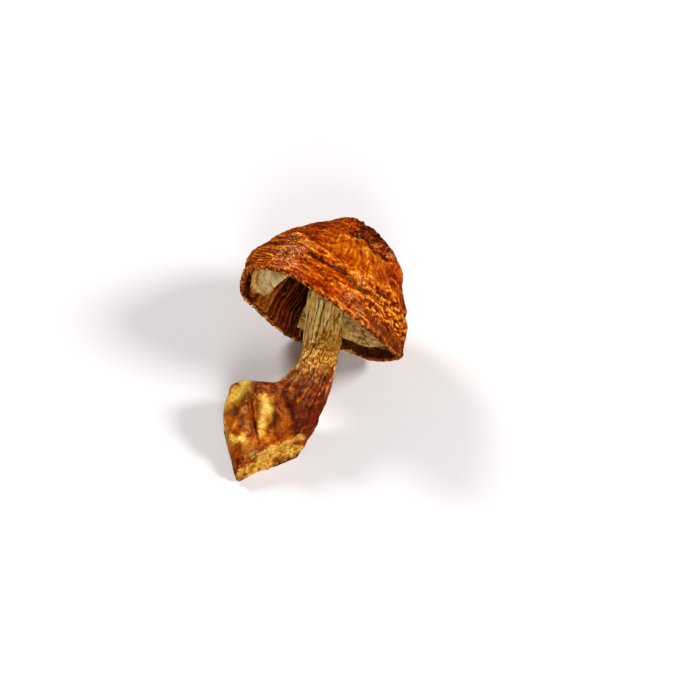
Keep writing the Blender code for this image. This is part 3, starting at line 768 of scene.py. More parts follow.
def blade(reach):
    """Points and faces of one gill from the margin in to this radius, in the plane of X and Z."""
    along = np.linspace(0.0, 1.0, BLADE_STEPS)[:, None]
    depth, side = np.array(BLADE_RING).T

    def arch(radius, height, stop):
        first = share_at_height(height, GILL_START)
        return dome_at(radius, height, first + (share_at_radius(radius, stop) - first) * along)

    root, edge = arch(ROOT_RADIUS, ROOT_HEIGHT, reach), arch(GILL_RADIUS, GILL_HEIGHT, reach + EDGE_SETBACK)
    x, z = [low + (top - low) * depth for low, top in zip(root, edge)]
    points = np.stack([x, side * GILL_THICKNESS / 2 + 0 * x, z], -1).reshape(-1, 3)
    index = np.arange(len(points)).reshape(x.shape)
    after = np.roll(index, -1, 1)
    faces = np.stack([index[:-1], after[:-1], after[1:], index[1:]], -1).reshape(-1, 4).tolist()
    return points, faces + [index[0, ::-1].tolist(), index[-1].tolist()], np.tile(depth, BLADE_STEPS)


print("A blade has", len(blade(LONG_REACH)[0]), "points")

# %% Geometry Nodes helpers
def geometry_tree(name, inputs):
    """A Geometry Nodes tree with a geometry in and out and the named inputs; None stands for a finish."""
    made = bpy.data.node_groups.new(name, "GeometryNodeTree")
    made.interface.new_socket("Geometry", in_out="INPUT", socket_type="NodeSocketGeometry")
    made.interface.new_socket("Geometry", in_out="OUTPUT", socket_type="NodeSocketGeometry")
    for key, value in inputs.items():
        kind = {int: "Int", float: "Float", str: "String"}.get(type(value), "Material")
        made.interface.new_socket(key, in_out="INPUT", socket_type="NodeSocket" + kind).default_value = value
    return made, add_node(made, "NodeGroupInput").outputs


def grown(name, source, tree, values):
    """The plain mesh that a Geometry Nodes tree makes from a source mesh and these input values."""
    host = in_scene(name, source)
    modifier = host.modifiers.new(name, "NODES")
    modifier.node_group = tree
    for item in tree.interface.items_tree:
        if item.in_out == "INPUT" and item.name in values:
            modifier[item.identifier] = values[item.name]
    bpy.context.view_layer.update()
    mesh = bpy.data.meshes.new_from_object(host.evaluated_get(bpy.context.evaluated_depsgraph_get()))
    bpy.data.objects.remove(host)
    mesh.name = name
    return mesh


print("Tree helpers ready")

# %% Places of the gills
GILL_COUNT, JITTER = 126, 0.8
THIN, THICK = 0.5, 1.9
tree, given = geometry_tree("gill fan", {
    "Count": GILL_COUNT, "Jitter": JITTER, "Thin": THIN, "Thick": THICK, "Seed": 4,
})
index = add_node(tree, "GeometryNodeInputIndex").outputs[0]
jitter = add_node(tree, "FunctionNodeRandomValue", {
    "ID": index, "Seed": given["Seed"],
}, data_type="FLOAT").outputs[1]
offset = add_node(tree, "ShaderNodeMath", {
    0: jitter, 1: given["Jitter"], 2: index,
}, operation="MULTIPLY_ADD").outputs[0]
part_turn = add_node(tree, "ShaderNodeMath", {0: math.tau, 1: given["Count"]}, operation="DIVIDE").outputs[0]
turn_at = add_node(tree, "ShaderNodeMath", {0: offset, 1: part_turn}, operation="MULTIPLY").outputs[0]
facing = add_node(tree, "ShaderNodeCombineXYZ", {"Z": turn_at}).outputs[0]
thickness = add_node(tree, "FunctionNodeRandomValue", {
    "ID": index, "Seed": 9, 2: given["Thin"], 3: given["Thick"],
}, data_type="FLOAT").outputs[1]
scale = add_node(tree, "ShaderNodeCombineXYZ", {"X": 1.0, "Y": thickness, "Z": 1.0}).outputs[0]

print("Nodes for the places of the gills:", len(tree.nodes))

# %% Long and short gills
# Every third blade is long
which = add_node(tree, "ShaderNodeMath", {0: index, 1: 3.0}, operation="MODULO").outputs[0]
is_long = add_node(tree, "ShaderNodeMath", {0: which, 1: 0.5}, operation="LESS_THAN").outputs[0]
is_short = add_node(tree, "ShaderNodeMath", {0: 1.0, 1: is_long}, operation="SUBTRACT").outputs[0]
places = add_node(tree, "GeometryNodePoints", {"Count": given["Count"]}).outputs[0]
long_mark = add_node(tree, "GeometryNodeInputNamedAttribute", {"Name": "long"}, data_type="FLOAT")
kinds = add_node(tree, "GeometryNodeSeparateGeometry", {
    "Geometry": given["Geometry"], "Selection": long_mark.outputs["Attribute"],
})
joined = add_node(tree, "GeometryNodeJoinGeometry")
for kind, chosen in (("Selection", is_long), ("Inverted", is_short)):
    fan = add_node(tree, "GeometryNodeInstanceOnPoints", {
        "Points": places, "Selection": chosen, "Instance": kinds.outputs[kind], "Rotation": facing,
        "Scale": scale,
    })
    tree.links.new(fan.outputs[0], joined.inputs[0])
tone = add_node(tree, "FunctionNodeRandomValue", {"Seed": 3}, data_type="FLOAT").outputs[1]
toned = add_node(tree, "GeometryNodeStoreNamedAttribute", {
    "Geometry": joined.outputs[0], "Name": "tone", "Value": tone,
}, data_type="FLOAT", domain="INSTANCE")
solid = add_node(tree, "GeometryNodeRealizeInstances", {"Geometry": toned.outputs[0]})
coloured = add_node(tree, "GeometryNodeSetMaterial", {"Geometry": solid.outputs[0], "Material": gill_finish})
add_node(tree, "NodeGroupOutput", {"Geometry": coloured.outputs[0]})
print("Gill tree:", len(tree.nodes), "nodes")

# %% Gill fan
blades = [blade(LONG_REACH), blade(SHORT_REACH)]
long_points = len(blades[0][0])
points = np.vstack([made[0] for made in blades])
faces = blades[0][1] + [[i + long_points for i in face] for face in blades[1][1]]
source = bpy.data.meshes.new("two blades")
source.from_pydata(points.tolist(), [], faces)
store(source, {
    "depth": np.concatenate([made[2] for made in blades]),
    "long": (np.arange(len(points)) < long_points).astype(float),
})
gill_mesh = grown("gill_fan", source, tree, {"Seed": 4})
print("gill_fan", triangles(gill_mesh), "triangles")

# %% [markdown]
# ## The gills as they dried
#
# The tree gives an even fan. Drying bent it: the veil presses the blades' outer ends back where it laps
# them, they hang lower where it is torn open, and they wave and lean together in clumps. At the end the
# rules of drying move them with the cap.

# %% Gill rules
GILL_LIFT, LIFT_FROM, LIFT_DEPTH = 1.5, 0.9, 5.0
LAP_TURNS, LAP_SOFTNESS = (165.0, 246.0), 8.0
BEHIND_VEIL = (-20.0, 112.0)
OPEN_TURNS, OPEN_SOFTNESS = (100.0, 176.0), 4
MARGIN_DROP = 0.55


def lapped(turn):
    """1 where the veil laps over the gills' outer ends, 0 elsewhere."""
    inside_lap = np.minimum(turn % 360.0 - LAP_TURNS[0], LAP_TURNS[1] - turn % 360.0)
    return np.clip(inside_lap / LAP_SOFTNESS, 0.0, 1.0)


def dome_width(z):
    """Radius of the flesh's dome, as a share, at a height above the mouth."""
    return np.maximum(1e-6, 1.0 - np.clip(z / FLESH_HEIGHT, 0.0, 1.0) ** ROUNDNESS) ** (1.0 / ROUNDNESS)


def mesh_points(mesh):
    points = np.empty(len(mesh.vertices) * 3, np.float32)
    mesh.vertices.foreach_get("co", points)
    return points.reshape(-1, 3).astype(float)


def place_points(mesh, points):
    """Lays points of the cap's frame on the table, in metres, and stores them in the mesh."""
    points = on_table(points)
    points[:, 2] = points[:, 2].clip(0.0)
    mesh.vertices.foreach_set("co", (points * MM).ravel())
    mesh.update()


print("Gills are lapped by the veil for", LAP_TURNS[1] - LAP_TURNS[0], "degrees")

# %% Gill shape
points = mesh_points(gill_mesh)
angle = np.arctan2(points[:, 1], points[:, 0])
gill_turn = np.degrees(angle)
near = np.clip(1.0 - (points[:, 2] - LIFT_FROM) / LIFT_DEPTH, 0.0, 1.0)
under_veil = lapped(gill_turn) * step(gill_turn % 360.0, 168.0, 180.0)
under_veil = np.maximum(under_veil, zone(gill_turn, 0 * gill_turn, BEHIND_VEIL, (-1.0, 1.0), 4.0))
lift = (GILL_LIFT * near + 0.6 * (1.0 - step(points[:, 2], 0.2, 2.0))) * under_veil
ratio = dome_width(points[:, 2] + lift) / dome_width(points[:, 2])
points = np.stack([points[:, 0] * ratio, points[:, 1] * ratio, points[:, 2] + lift], -1)

opened, closed = [step(gill_turn, turn - OPEN_SOFTNESS, turn + OPEN_SOFTNESS) for turn in OPEN_TURNS]
ragged_end = 0.7 + 0.5 * grain(np.stack([angle * 20, 0 * angle, 0 * angle], -1), 1.0)
points[:, 2] -= MARGIN_DROP * ragged_end * opened * (1.0 - closed) * (1.0 - step(points[:, 2], 0.0, 2.2))

radius = np.hypot(points[:, 0], points[:, 1])
clump_at = np.stack([np.cos(angle) * 13, np.sin(angle) * 13, points[:, 2] / 6.0], -1)
wave_at = np.stack([np.cos(angle) * 5, np.sin(angle) * 5, points[:, 2] / 2.6], -1)
bend = 0.5 * grain(clump_at, 1.0) + 0.6 * grain(wave_at, 1.0) + 0.25 * grain(points, 1.1)
angle += bend / radius.clip(6.0)
# Painted light and shade: the blades are painted lighter near the margin and darker deeper in the cap.
store(gill_mesh, {"outer_painted_light": 1.0 - step(points[:, 2], 1.0, 8.0)})
place_points(gill_mesh, dried(np.stack([radius * np.cos(angle), radius * np.sin(angle), points[:, 2]], -1)))
gill_mesh.shade_smooth()
print("Blades bend by up to", round(float(np.abs(bend).max()), 2), "mm")

# %% Gill piece
gills = in_scene("gill_fan", gill_mesh)
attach(gills, "root")
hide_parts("gills")
print("Gills:", len(gill_mesh.vertices), "points")

# %% [markdown]
# ## The veil
#
# The veil is a thin sheet that covered the young gills. It hangs from the margin, torn off the stem, and
# has shrunk to parchment: fine level striations, a tan outer edge, one crack and a rolled, ragged inner
# edge. It is a grid of turns and rows, which reaches as far in as is left of the sheet at each turn.

# %% Veil outline
VEIL_TURNS = (160.0, 481.0)
VEIL_CORNER = (16.0, 1.8)
VEIL_GAP_TURNS, GAP_SOFTNESS = (236.0, 334.0), 12.0
VEIL_FRINGE, VEIL_LEFT_REACH = 0.13, 0.78
VEIL_COLUMNS, VEIL_ROWS = 420, 70

veil_turn, veil_share = np.meshgrid(np.linspace(*VEIL_TURNS, VEIL_COLUMNS), np.linspace(0.0, 1.0, VEIL_ROWS))
on_left = veil_turn < sum(VEIL_GAP_TURNS) / 2
into_gap = np.minimum(veil_turn - VEIL_GAP_TURNS[0], VEIL_GAP_TURNS[1] - veil_turn) / GAP_SOFTNESS
gap = np.clip(into_gap + 0.5, 0.0, 1.0)
whole = np.where(on_left, VEIL_LEFT_REACH, 1.0)
tear_at = np.stack([veil_turn / 9.0, 0 * veil_turn, 0 * veil_turn + 3.0], -1)
ragged = 0.05 * grain(tear_at, 1.0) + 0.02 * grain(tear_at, 0.22, (5, 2, 1))
veil_reach = whole * (1.0 - gap) + VEIL_FRINGE * gap + ragged * ((whole < 1.0) | (gap > 0))
corner = VEIL_CORNER[1] * np.clip(1.0 - (veil_turn - VEIL_TURNS[0]) / VEIL_CORNER[0], 0.0, 1.0) ** 2
lap = lapped(veil_turn) * np.clip(1.0 - corner / VEIL_CORNER[1], 0.0, 1.0)
print("Veil reaches in by", round(float(veil_reach.min()), 2), "to", round(float(veil_reach.max()), 2))

# %% Veil surface
VEIL_THICKNESS, TOUCH_GAP = 0.6, 0.3
VEIL_START, VEIL_LAP, VEIL_FLARE, VEIL_HOLE = 1.3, 0.8, 18.1, 6.4
FOOT_ROWS = 8

sheet_radius = GILL_RADIUS - TOUCH_GAP - VEIL_THICKNESS
sheet_height = GILL_HEIGHT - TOUCH_GAP - VEIL_THICKNESS
first = share_at_height(sheet_height, VEIL_START + VEIL_LAP * lap + corner)
last = share_at_radius(sheet_radius, VEIL_HOLE)
veil_row = veil_share * (VEIL_ROWS - 1)
body_share = np.clip((veil_row - FOOT_ROWS) / (VEIL_ROWS - 1 - FOOT_ROWS), 0.0, 1.0)
foot_share = 1.0 - np.clip(veil_row / FOOT_ROWS, 0.0, 1.0)
veil_r, veil_z = dome_at(sheet_radius, sheet_height, first + (last - first) * veil_reach * body_share)
veil_r = veil_r + (VEIL_FLARE - veil_r) * lap * foot_share
veil_z = veil_z - VEIL_LAP * lap * foot_share
veil_angle = np.radians(veil_turn)
flat_veil = np.stack([veil_r * np.cos(veil_angle), veil_r * np.sin(veil_angle), veil_z], -1)
print("Veil stands", round(float(veil_z.min()), 2), "to", round(float(veil_z.max()), 2), "mm over the margin")

# %% Striations, crack and roll
# The crack is a line of (turn, height in mm)
CRACK = ((63.0, 4.8), (59.0, 3.5), (57.5, 2.6), (54.0, 1.6))
CRACK_WIDTH, ROLL_WIDTH = 0.22, 2.6
# Turns count as mm along the sheet at about this radius
CRACK_RADIUS = 16.0

striae_at = np.stack([flat_veil[..., 0] / 4.2, flat_veil[..., 1] / 4.2, veil_z / 0.55], -1)
striae = ridged(grain(striae_at + 0.7 * grain(flat_veil, 2.6)[..., None], 1.0))
pull = grain(flat_veil, (1.6, 1.6, 4.0), (6, 2, 8))
crack_line = np.array([(math.radians(t) * CRACK_RADIUS, z) for t, z in CRACK])
on_sheet = np.stack([np.radians(veil_turn % 360.0) * CRACK_RADIUS, veil_z], -1)
crack = np.exp(-((off_line(on_sheet, crack_line) / CRACK_WIDTH) ** 2))
rolled = np.exp(-((veil_turn - VEIL_TURNS[0]) / ROLL_WIDTH) ** 2) * body_share ** 0.5
veil_push = 0.17 * striae + 0.2 * pull - 0.12 - 0.25 * crack + 0.45 * rolled
inwards = -np.stack([np.cos(veil_angle), np.sin(veil_angle), 0.5 + 0 * veil_angle], -1) / math.hypot(1, 0.5)
veil_points = dried((flat_veil + inwards * veil_push[..., None]).reshape(-1, 3))
print("Veil relief in mm:", round(float(veil_push.min()), 2), "to", round(float(veil_push.max()), 2))

# %% [markdown]
# ## The finish of the veil
#
# A dried veil is cream parchment. It is painted darker high up behind the stem and under the lip on the left, as
# painted shade, and is palest on the left flap. The torn edge is tan, and the crack is painted dark, as painted
# shade in it. The sheet is nearly matt, with no golden sheen.

# %% Veil finish
# Colours from the hollows of the striations to their crests
VEIL_LAYERS = (
    (None, ((0.28, "#7a4c1a"), (0.4, "#b2843a"), (0.5, "#d8aa54"), (0.63, "#e8c680"), (0.78, "#fae4a8"))),
    ("cream", ((0.28, "#946a2a"), (0.4, "#cca656"), (0.5, "#ead088"), (0.63, "#f8e6ac"), (0.78, "#fff4cc"))),
    # Painted shade where the sheet lies under the lip and behind the stem
    ("painted_veil_shade", ((0.3, "#3e230a"), (0.5, "#7c5424"), (0.7, "#b08848"))),
    ("rolled", ((0.3, "#c89e50"), (0.5, "#e4c684"), (0.7, "#f8e8bc"))),
    ("edge", ((0.3, "#6a340c"), (0.5, "#b0742a"), (0.7, "#e6b458"))),
    # Painted shade in the crack
    ("crack", ((0.3, "#2a1206"), (0.6, "#4a2a10"))),
)
veil_finish = layered_finish(
    "dried cream parchment",
    noises={"cloud": (330.0, 4.0, 0.6), "grit": (1500.0, 2.0, 0.6)},
    shade=(("relief", 0.17), ("cloud", 0.6), ("grit", 0.4)),
    layers=VEIL_LAYERS,
    roughness=(0.6,), shine=(1.45, 0.3, "#ffffff"), bump=("cloud", 0.35, 0.0002),
)

# %% [markdown]
# ## The veil as a sheet
#
# The sheet is one open grid, and a Solidify modifier gives it its wall, thinner than the CAD's because a real
# veil is as thin as paper. Its parts high up behind the stem and under the lip on the left are painted darker, as
# painted shade.

# %% Veil colours
behind_stem = zone(veil_turn, 0 * veil_turn, (20.0, 92.0), (-1.0, 1.0))
veil_marks = {
    # The striations' hollows are painted darker and their crests lighter: painted shade and painted highlight.
    "relief": striae,
    "edge": np.maximum(1.0 - step(veil_share + 0.02 * pull, 0.04, 0.14), 0.5 * step(veil_share, 0.95, 1.0)),
    "crack": crack,
    "rolled": rolled,
    # Painted shade, high up behind the stem
    "painted_veil_shade": 0.85 * step(veil_z + 0.4 * pull, 2.6, 4.8) * behind_stem,
    "cream": 0.8 * on_left * step(veil_share, 0.12, 0.4),
}
# Painted shade on the upper part of the left flap, under the lip
veil_marks["painted_veil_shade"] += 0.75 * step(veil_z + 0.5 * pull + 0.3 * striae, 4.6, 8.6) * on_left
print("Veil colours:", ", ".join(veil_marks))

# %% Veil piece
SHEET_THICKNESS = 0.28
veil_mesh = bpy.data.meshes.new("veil_sheet")
index = np.arange(VEIL_ROWS * VEIL_COLUMNS).reshape(VEIL_ROWS, VEIL_COLUMNS)
quads = np.stack([index[:-1, :-1], index[1:, :-1], index[1:, 1:], index[:-1, 1:]], -1).reshape(-1, 4)
veil_mesh.from_pydata(veil_points.tolist(), [], quads.tolist())
place_points(veil_mesh, veil_points)
store(veil_mesh, {key: grid.ravel() for key, grid in veil_marks.items()})
veil_mesh.materials.append(veil_finish)
veil_mesh.shade_smooth()
veil = in_scene("veil_sheet", veil_mesh)
wall = veil.modifiers.new("Solidify", "SOLIDIFY")
wall.thickness = SHEET_THICKNESS * MM
wall.offset = 1.0
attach(veil, "root")
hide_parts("veil")
print("veil_sheet", len(veil_mesh.polygons), "faces before its wall")

# %% [markdown]
# ## The stem and its foot
#
# The stem is lofted through ribs: for each, the places of its left and right edge and its thickness above
# and below. It is a bundle of fibres, straw-coloured near the cap, browned and glossy lower down, and it
# swells to a lumpy foot that was cut off at a slant. Its big lumps are drawn as soft folds, and its furrows
# as lines seen from above.

# %% Stem ribs
# Left edge and right edge (x, y, z), thickness above and below, in mm
STEM_RIBS = (
    ((-5.1, 0.0, 19.6), (3.3, 0.0, 19.6), 3.9, 3.9),
    ((-5.5, 0.0, 12.0), (2.9, 0.0, 12.0), 3.8, 3.8),
    ((-5.3, 0.0, 4.5), (3.6, 0.0, 4.5), 3.7, 3.7),
    ((-3.5, 0.0, -1.8), (5.6, 0.0, -2.6), 3.8, 3.8),
    ((-2.1, 0.0, -7.2), (6.8, 0.0, -7.5), 3.9, 3.9),
    ((-1.4, 0.0, -12.4), (7.2, 0.0, -12.2), 4.2, 4.6),
    ((-3.8, 0.5, -17.6), (7.8, 0.5, -15.8), 5.0, 6.0),
    ((-9.4, 1.5, -19.4), (8.2, 1.0, -18.4), 6.6, 7.2),
    ((-13.0, 2.0, -20.8), (7.8, 2.0, -20.4), 8.0, 8.1),
    ((-13.8, 2.5, -23.8), (7.2, 3.2, -22.4), 8.4, 7.8),
    ((-13.2, 2.5, -27.8), (6.5, 4.4, -24.2), 7.8, 6.4),
    ((-11.6, 2.2, -31.8), (6.1, 5.2, -25.8), 6.4, 5.2),
    ((-9.0, 2.0, -35.2), (5.8, 5.9, -27.0), 5.0, 4.2),
    ((-6.8, 1.8, -38.0), (5.5, 6.4, -28.0), 3.8, 3.2),
    ((-5.0, 1.6, -40.2), (5.3, 6.7, -28.8), 2.8, 2.7),
)
# Where along the stem each starts, and how strong it is at the end
CUT_SLANT, FOOT_BOXINESS = (0.7, 0.78), (0.6, 0.3)
STEM_CREASES, CREASE_DEPTH = 7, 0.42
STEM_TWIST = math.radians(75)
END_HOLLOW = 1.0
print("Stem ribs:", len(STEM_RIBS))

# %% Stem folds and lines
# Lumps and hollows of the foot, each a line of (x, y, z), then reach and height in mm
FOOT_FOLDS = (
    (((-11.4, -2.6, -21.4), (-6.0, -5.6, -20.8)), 2.0, 0.9),
    (((-3.6, -6.4, -23.0), (-2.8, -5.5, -26.0), (-2.0, -0.6, -31.8)), 2.5, 1.4),
    (((-2.8, -5.8, -20.6), (2.8, -3.2, -23.6), (4.2, 1.5, -26.2)), 1.4, -1.6),
    (((-8.4, -4.3, -23.5), (-7.0, -3.6, -27.0), (-5.0, -1.6, -30.5)), 1.3, -1.3),
    (((-12.0, -2.0, -23.5), (-10.5, -1.9, -29.2), (-7.2, -1.0, -33.0)), 1.9, 0.9),
    (((1.2, -1.5, -25.6), (0.8, 0.2, -29.0)), 1.7, 0.9),
    (((4.5, -4.2, -17.5), (6.9, -0.8, -22.4)), 2.2, 0.7),
    (((1.0, 6.0, -35.6), (1.8, 6.6, -34.2)), 1.9, -1.8),
    (((-11.0, 6.5, -23.0), (-9.5, 6.5, -30.0)), 2.6, 0.9),
    (((-1.0, 8.2, -15.5), (0.5, 9.4, -19.5)), 2.4, -1.0),
    (((4.5, 7.5, -20.0), (6.0, 8.0, -24.0)), 2.0, 0.8),
)
# Furrows and ridges on the side in view, each a line of (x, z), then reach and height in mm
STEM_LINES = (
    (((0.9, -12.9), (0.2, -15.5), (-0.1, -18.7), (-0.3, -20.6)), 0.5, -0.26),
    (((3.9, -12.6), (3.5, -15.8), (3.1, -19.0), (2.3, -20.1)), 0.4, -0.2),
    (((5.6, -10.6), (5.6, -14.5), (5.7, -18.2), (5.3, -21.2)), 0.36, -0.2),
    (((6.6, -12.1), (6.9, -15.7), (6.8, -19.1), (6.2, -22.4)), 0.32, -0.2),
    (((4.7, -13.0), (4.8, -16.5), (4.3, -20.0)), 0.28, -0.2),
    (((0.7, -4.2), (1.3, -7.2), (1.3, -9.4), (0.5, -11.1)), 0.34, -0.6),
    (((2.0, -4.4), (2.1, -6.3), (2.0, -8.1)), 0.26, -0.3),
    (((0.1, -12.9), (-1.7, -15.2), (-2.9, -17.8)), 0.7, 0.5),
    (((2.4, -11.7), (1.6, -14.4), (0.8, -17.4), (0.8, -19.0)), 0.7, 0.5),
    (((3.2, -6.0), (2.6, -8.1), (1.7, -11.2)), 0.8, 0.35),
    (((4.5, -16.4), (3.9, -19.5), (3.0, -21.0)), 0.5, 0.35),
    (((-0.5, 4.7), (0.1, 0.8), (0.5, -2.0), (0.8, -4.8)), 0.26, -0.55),
    (((1.7, 4.2), (2.1, 0.1), (2.3, -3.6)), 0.26, -0.5),
    (((-2.8, 5.2), (-1.4, 1.4), (-0.7, -2.3), (0.3, -6.0)), 0.24, -0.48),
    (((3.3, 4.0), (3.7, 0.2), (3.9, -4.0)), 0.24, -0.28),
    (((-2.9, 1.2), (-1.4, -3.9), (-0.3, -8.0)), 0.22, -0.28),
    (((-1.1, 3.0), (-0.6, 0.4), (0.0, -3.0), (0.8, -6.4)), 0.42, 0.5),
    (((-6.2, -24.6), (-4.9, -27.8), (-3.4, -29.9), (-2.1, -31.9)), 0.45, -0.28),
    (((-0.5, -23.4), (-0.4, -26.2), (-1.3, -28.5), (-1.5, -30.9)), 0.8, -0.3),
    (((-3.4, -23.6), (-2.7, -26.3), (-2.1, -30.4)), 1.4, 0.55),
    (((-7.9, -21.7), (-9.2, -23.9), (-10.2, -26.1)), 1.2, -0.35),
    (((-10.6, -21.0), (-6.7, -20.4), (-3.9, -19.9)), 0.6, 0.4),
    (((-9.8, -27.4), (-8.3, -28.3), (-7.3, -30.2)), 0.9, -0.3),
    (((-8.3, -33.3), (-5.8, -32.4)), 0.8, 0.35),
    (((-3.7, -35.9), (-1.3, -33.4), (0.9, -30.7), (2.8, -28.7)), 0.5, 0.3),
)
print("Stem folds:", len(FOOT_FOLDS), "and lines:", len(STEM_LINES))

# %% Stem sections
STEM_ROWS, STEM_COLUMNS, CUT_ROWS = 290, 290, 22


def between(ribs, share):
    """The ribs' numbers at shares of the stem's length, on a smooth curve through all of them."""
    table = np.array(ribs)
    place = share * (len(table) - 1)
    index = np.minimum(place.astype(int), len(table) - 2)
    near = [table[np.clip(index + k, 0, len(table) - 1)] for k in (-1, 0, 1, 2)]
    return smooth_curve(*near, (place - index)[:, None])


stem_share = np.concatenate([[0.0], np.linspace(0.0, 1.0, STEM_ROWS), np.full(CUT_ROWS, 1.0)])
stem_rim = np.concatenate([[0.0], np.ones(STEM_ROWS), np.linspace(0.97, 0.0, CUT_ROWS)])
numbers = between([(*a, *b, c, d) for a, b, c, d in STEM_RIBS], stem_share)
left, right_edge = numbers[:, None, 0:3], numbers[:, None, 3:6]
above, below = numbers[:, 6, None], numbers[:, 7, None]
middle, half = (left + right_edge) / 2, (right_edge - left) / 2
angle = np.linspace(0.0, math.tau, STEM_COLUMNS, endpoint=False)[None, :]
share, rim = stem_share[:, None], stem_rim[:, None]
box, lean = [
    most * np.clip((share - start) / (1.0 - start), 0.0, 1.0) for start, most in (FOOT_BOXINESS, CUT_SLANT)
]
unit_x, unit_y = [np.sign(v) * np.abs(v) ** (1.0 - box) for v in (np.cos(angle), np.sin(angle))]
stem_rise = unit_y * rim * np.where(unit_y > 0, below, above)
stem_across = half * (unit_x * rim)[..., None] + np.stack([0 * stem_rise, stem_rise, -stem_rise * lean], -1)
print("Stem grid:", stem_rise.shape)

# %% Creases, lumps and cut end
round_angle = np.arctan2(unit_y, unit_x)
ring_place = np.stack([np.cos(round_angle), np.sin(round_angle), 5.0 * share + 0 * round_angle], -1)
wander = 0.9 * grain(ring_place, 1.0)
crease_turn = STEM_CREASES * (round_angle + STEM_TWIST * share + wander)
crease_depth = CREASE_DEPTH * (0.5 + 0.5 * np.cos(crease_turn)) ** 2
half_length = np.linalg.norm(half, axis=-1)
stem_across = stem_across * (1.0 - crease_depth * rim / half_length.clip(3.0))[..., None]
lumps = folded(middle + stem_across, FOOT_FOLDS) * rim
stem_out = unit(stem_across)
stem_across = stem_across + stem_out * lumps[..., None]
on_cut = (np.arange(len(stem_share)) > STEM_ROWS)[:, None]
hollow = END_HOLLOW * (1.0 - rim * rim) * (share > 0.999)
inward = unit(np.stack([-half[..., 2], 0 * half[..., 2], half[..., 0]], -1))
stem_points = middle + stem_across + inward * hollow[..., None]
print("Lumps of the foot in mm:", round(float(lumps.min()), 2), "to", round(float(lumps.max()), 2))

# %% [markdown]
# ## Fibres and granules
#
# Fibres run along the stem and twist a little, so their noise is stretched along it. Lower down the outer
# fibres broke into golden granules, and the foot shrank to lumps and wrinkles. The drawn lines are only on
# the side that the picture shows, so the far side gets furrows of its own.

# %% Fibres and wrinkles of the stem
long_share = share * 60.0 + 0 * round_angle
twist = round_angle + 0.25 * grain(ring_place, 0.6)


def along_stem(turns, length):
    """Places for noise that is fine round the stem and stretched along it."""
    return np.stack([np.cos(twist) * turns, np.sin(twist) * turns, long_share / length], -1)


fibres = ridged(grain(along_stem(11, 12.0), 1.0))
strands = creased(grain(along_stem(4.2, 16.0), 1.0, (3, 3, 1)))
hidden_furrows = creased(grain(along_stem(2.4, 9.0), 1.0, (5, 1, 5)))
stem_drift = drifts(stem_points, 1.6, ((3, 2, 0), (17, 2, 0), (41, 2, 0)))
granules = creased(grain(stem_points + 0.4 * stem_drift, (0.62, 0.62, 0.85), (7, 7, 7)))
lumpy = grain(stem_points, 2.3, (4, 2, 9))
wrinkles = creased(grain(stem_points + 0.7 * stem_drift, (1.5, 1.5, 2.2), (1, 8, 2)))
fine_wrinkles = creased(grain(stem_points + 0.4 * stem_drift, (0.7, 0.7, 1.0), (1, 4, 2)))
porous = grain(stem_points, 1.1, (2, 6, 6))
print("Kinds: fibres, strands, granules, lumps and wrinkles at", lumpy.size, "points each")

# %% Relief of the stem
from_above = np.stack([stem_points[..., 0], stem_points[..., 2]], -1)
in_view = step(stem_out @ to_camera, -0.1, 0.25)
along_z = middle[..., 2] + 0 * round_angle
on_foot = step(share, 0.46, 0.56) + 0 * round_angle
upper = 1.0 - step(-stem_points[..., 2] + 0.9 * stem_points[..., 0], 3.5, 8.0)
granular = (1.0 - upper) * (1.0 - step(-along_z, 12.0, 19.0))

stem_fine = (0.09 * fibres + 0.2 * strands) * upper
stem_fine += (0.06 * fibres + 0.05 * strands) * (1.0 - upper) * (1.0 - on_foot)
stem_fine += 0.11 * granules * granular + (0.14 * lumpy + 0.05 * wrinkles + 0.03 * fine_wrinkles) * on_foot
stem_fine += 0.3 * hidden_furrows * (1.0 - in_view) * (1.0 - upper) * (1.0 - 0.5 * on_foot)
stem_fine += folded(from_above + 0.18 * stem_drift[..., :2], STEM_LINES) * in_view
stem_fine *= step(rim, 0.75, 1.0)
stem_fine += 0.07 * (porous + fine_wrinkles) * on_cut * (1 - step(rim, 0.9, 1.0))
push = np.where(on_cut[..., None], -inward, stem_out)
stem_points = stem_points + push * stem_fine[..., None]
stem_sharp = stem_fine - softened(stem_fine, 8)
print("Stem relief in mm:", round(float(stem_fine.min()), 2), "to", round(float(stem_fine.max()), 2))

# %% [markdown]
# ## The colours of the stem
#
# They come in patches: straw above, a granular golden band, deep glossy red-brown on the right
# where it bent, and a foot of many browns. Each patch is a line of (x, z) seen from above, with a reach and a
# strength, and is stored on the mesh as a weight. The last colour wins where patches meet.

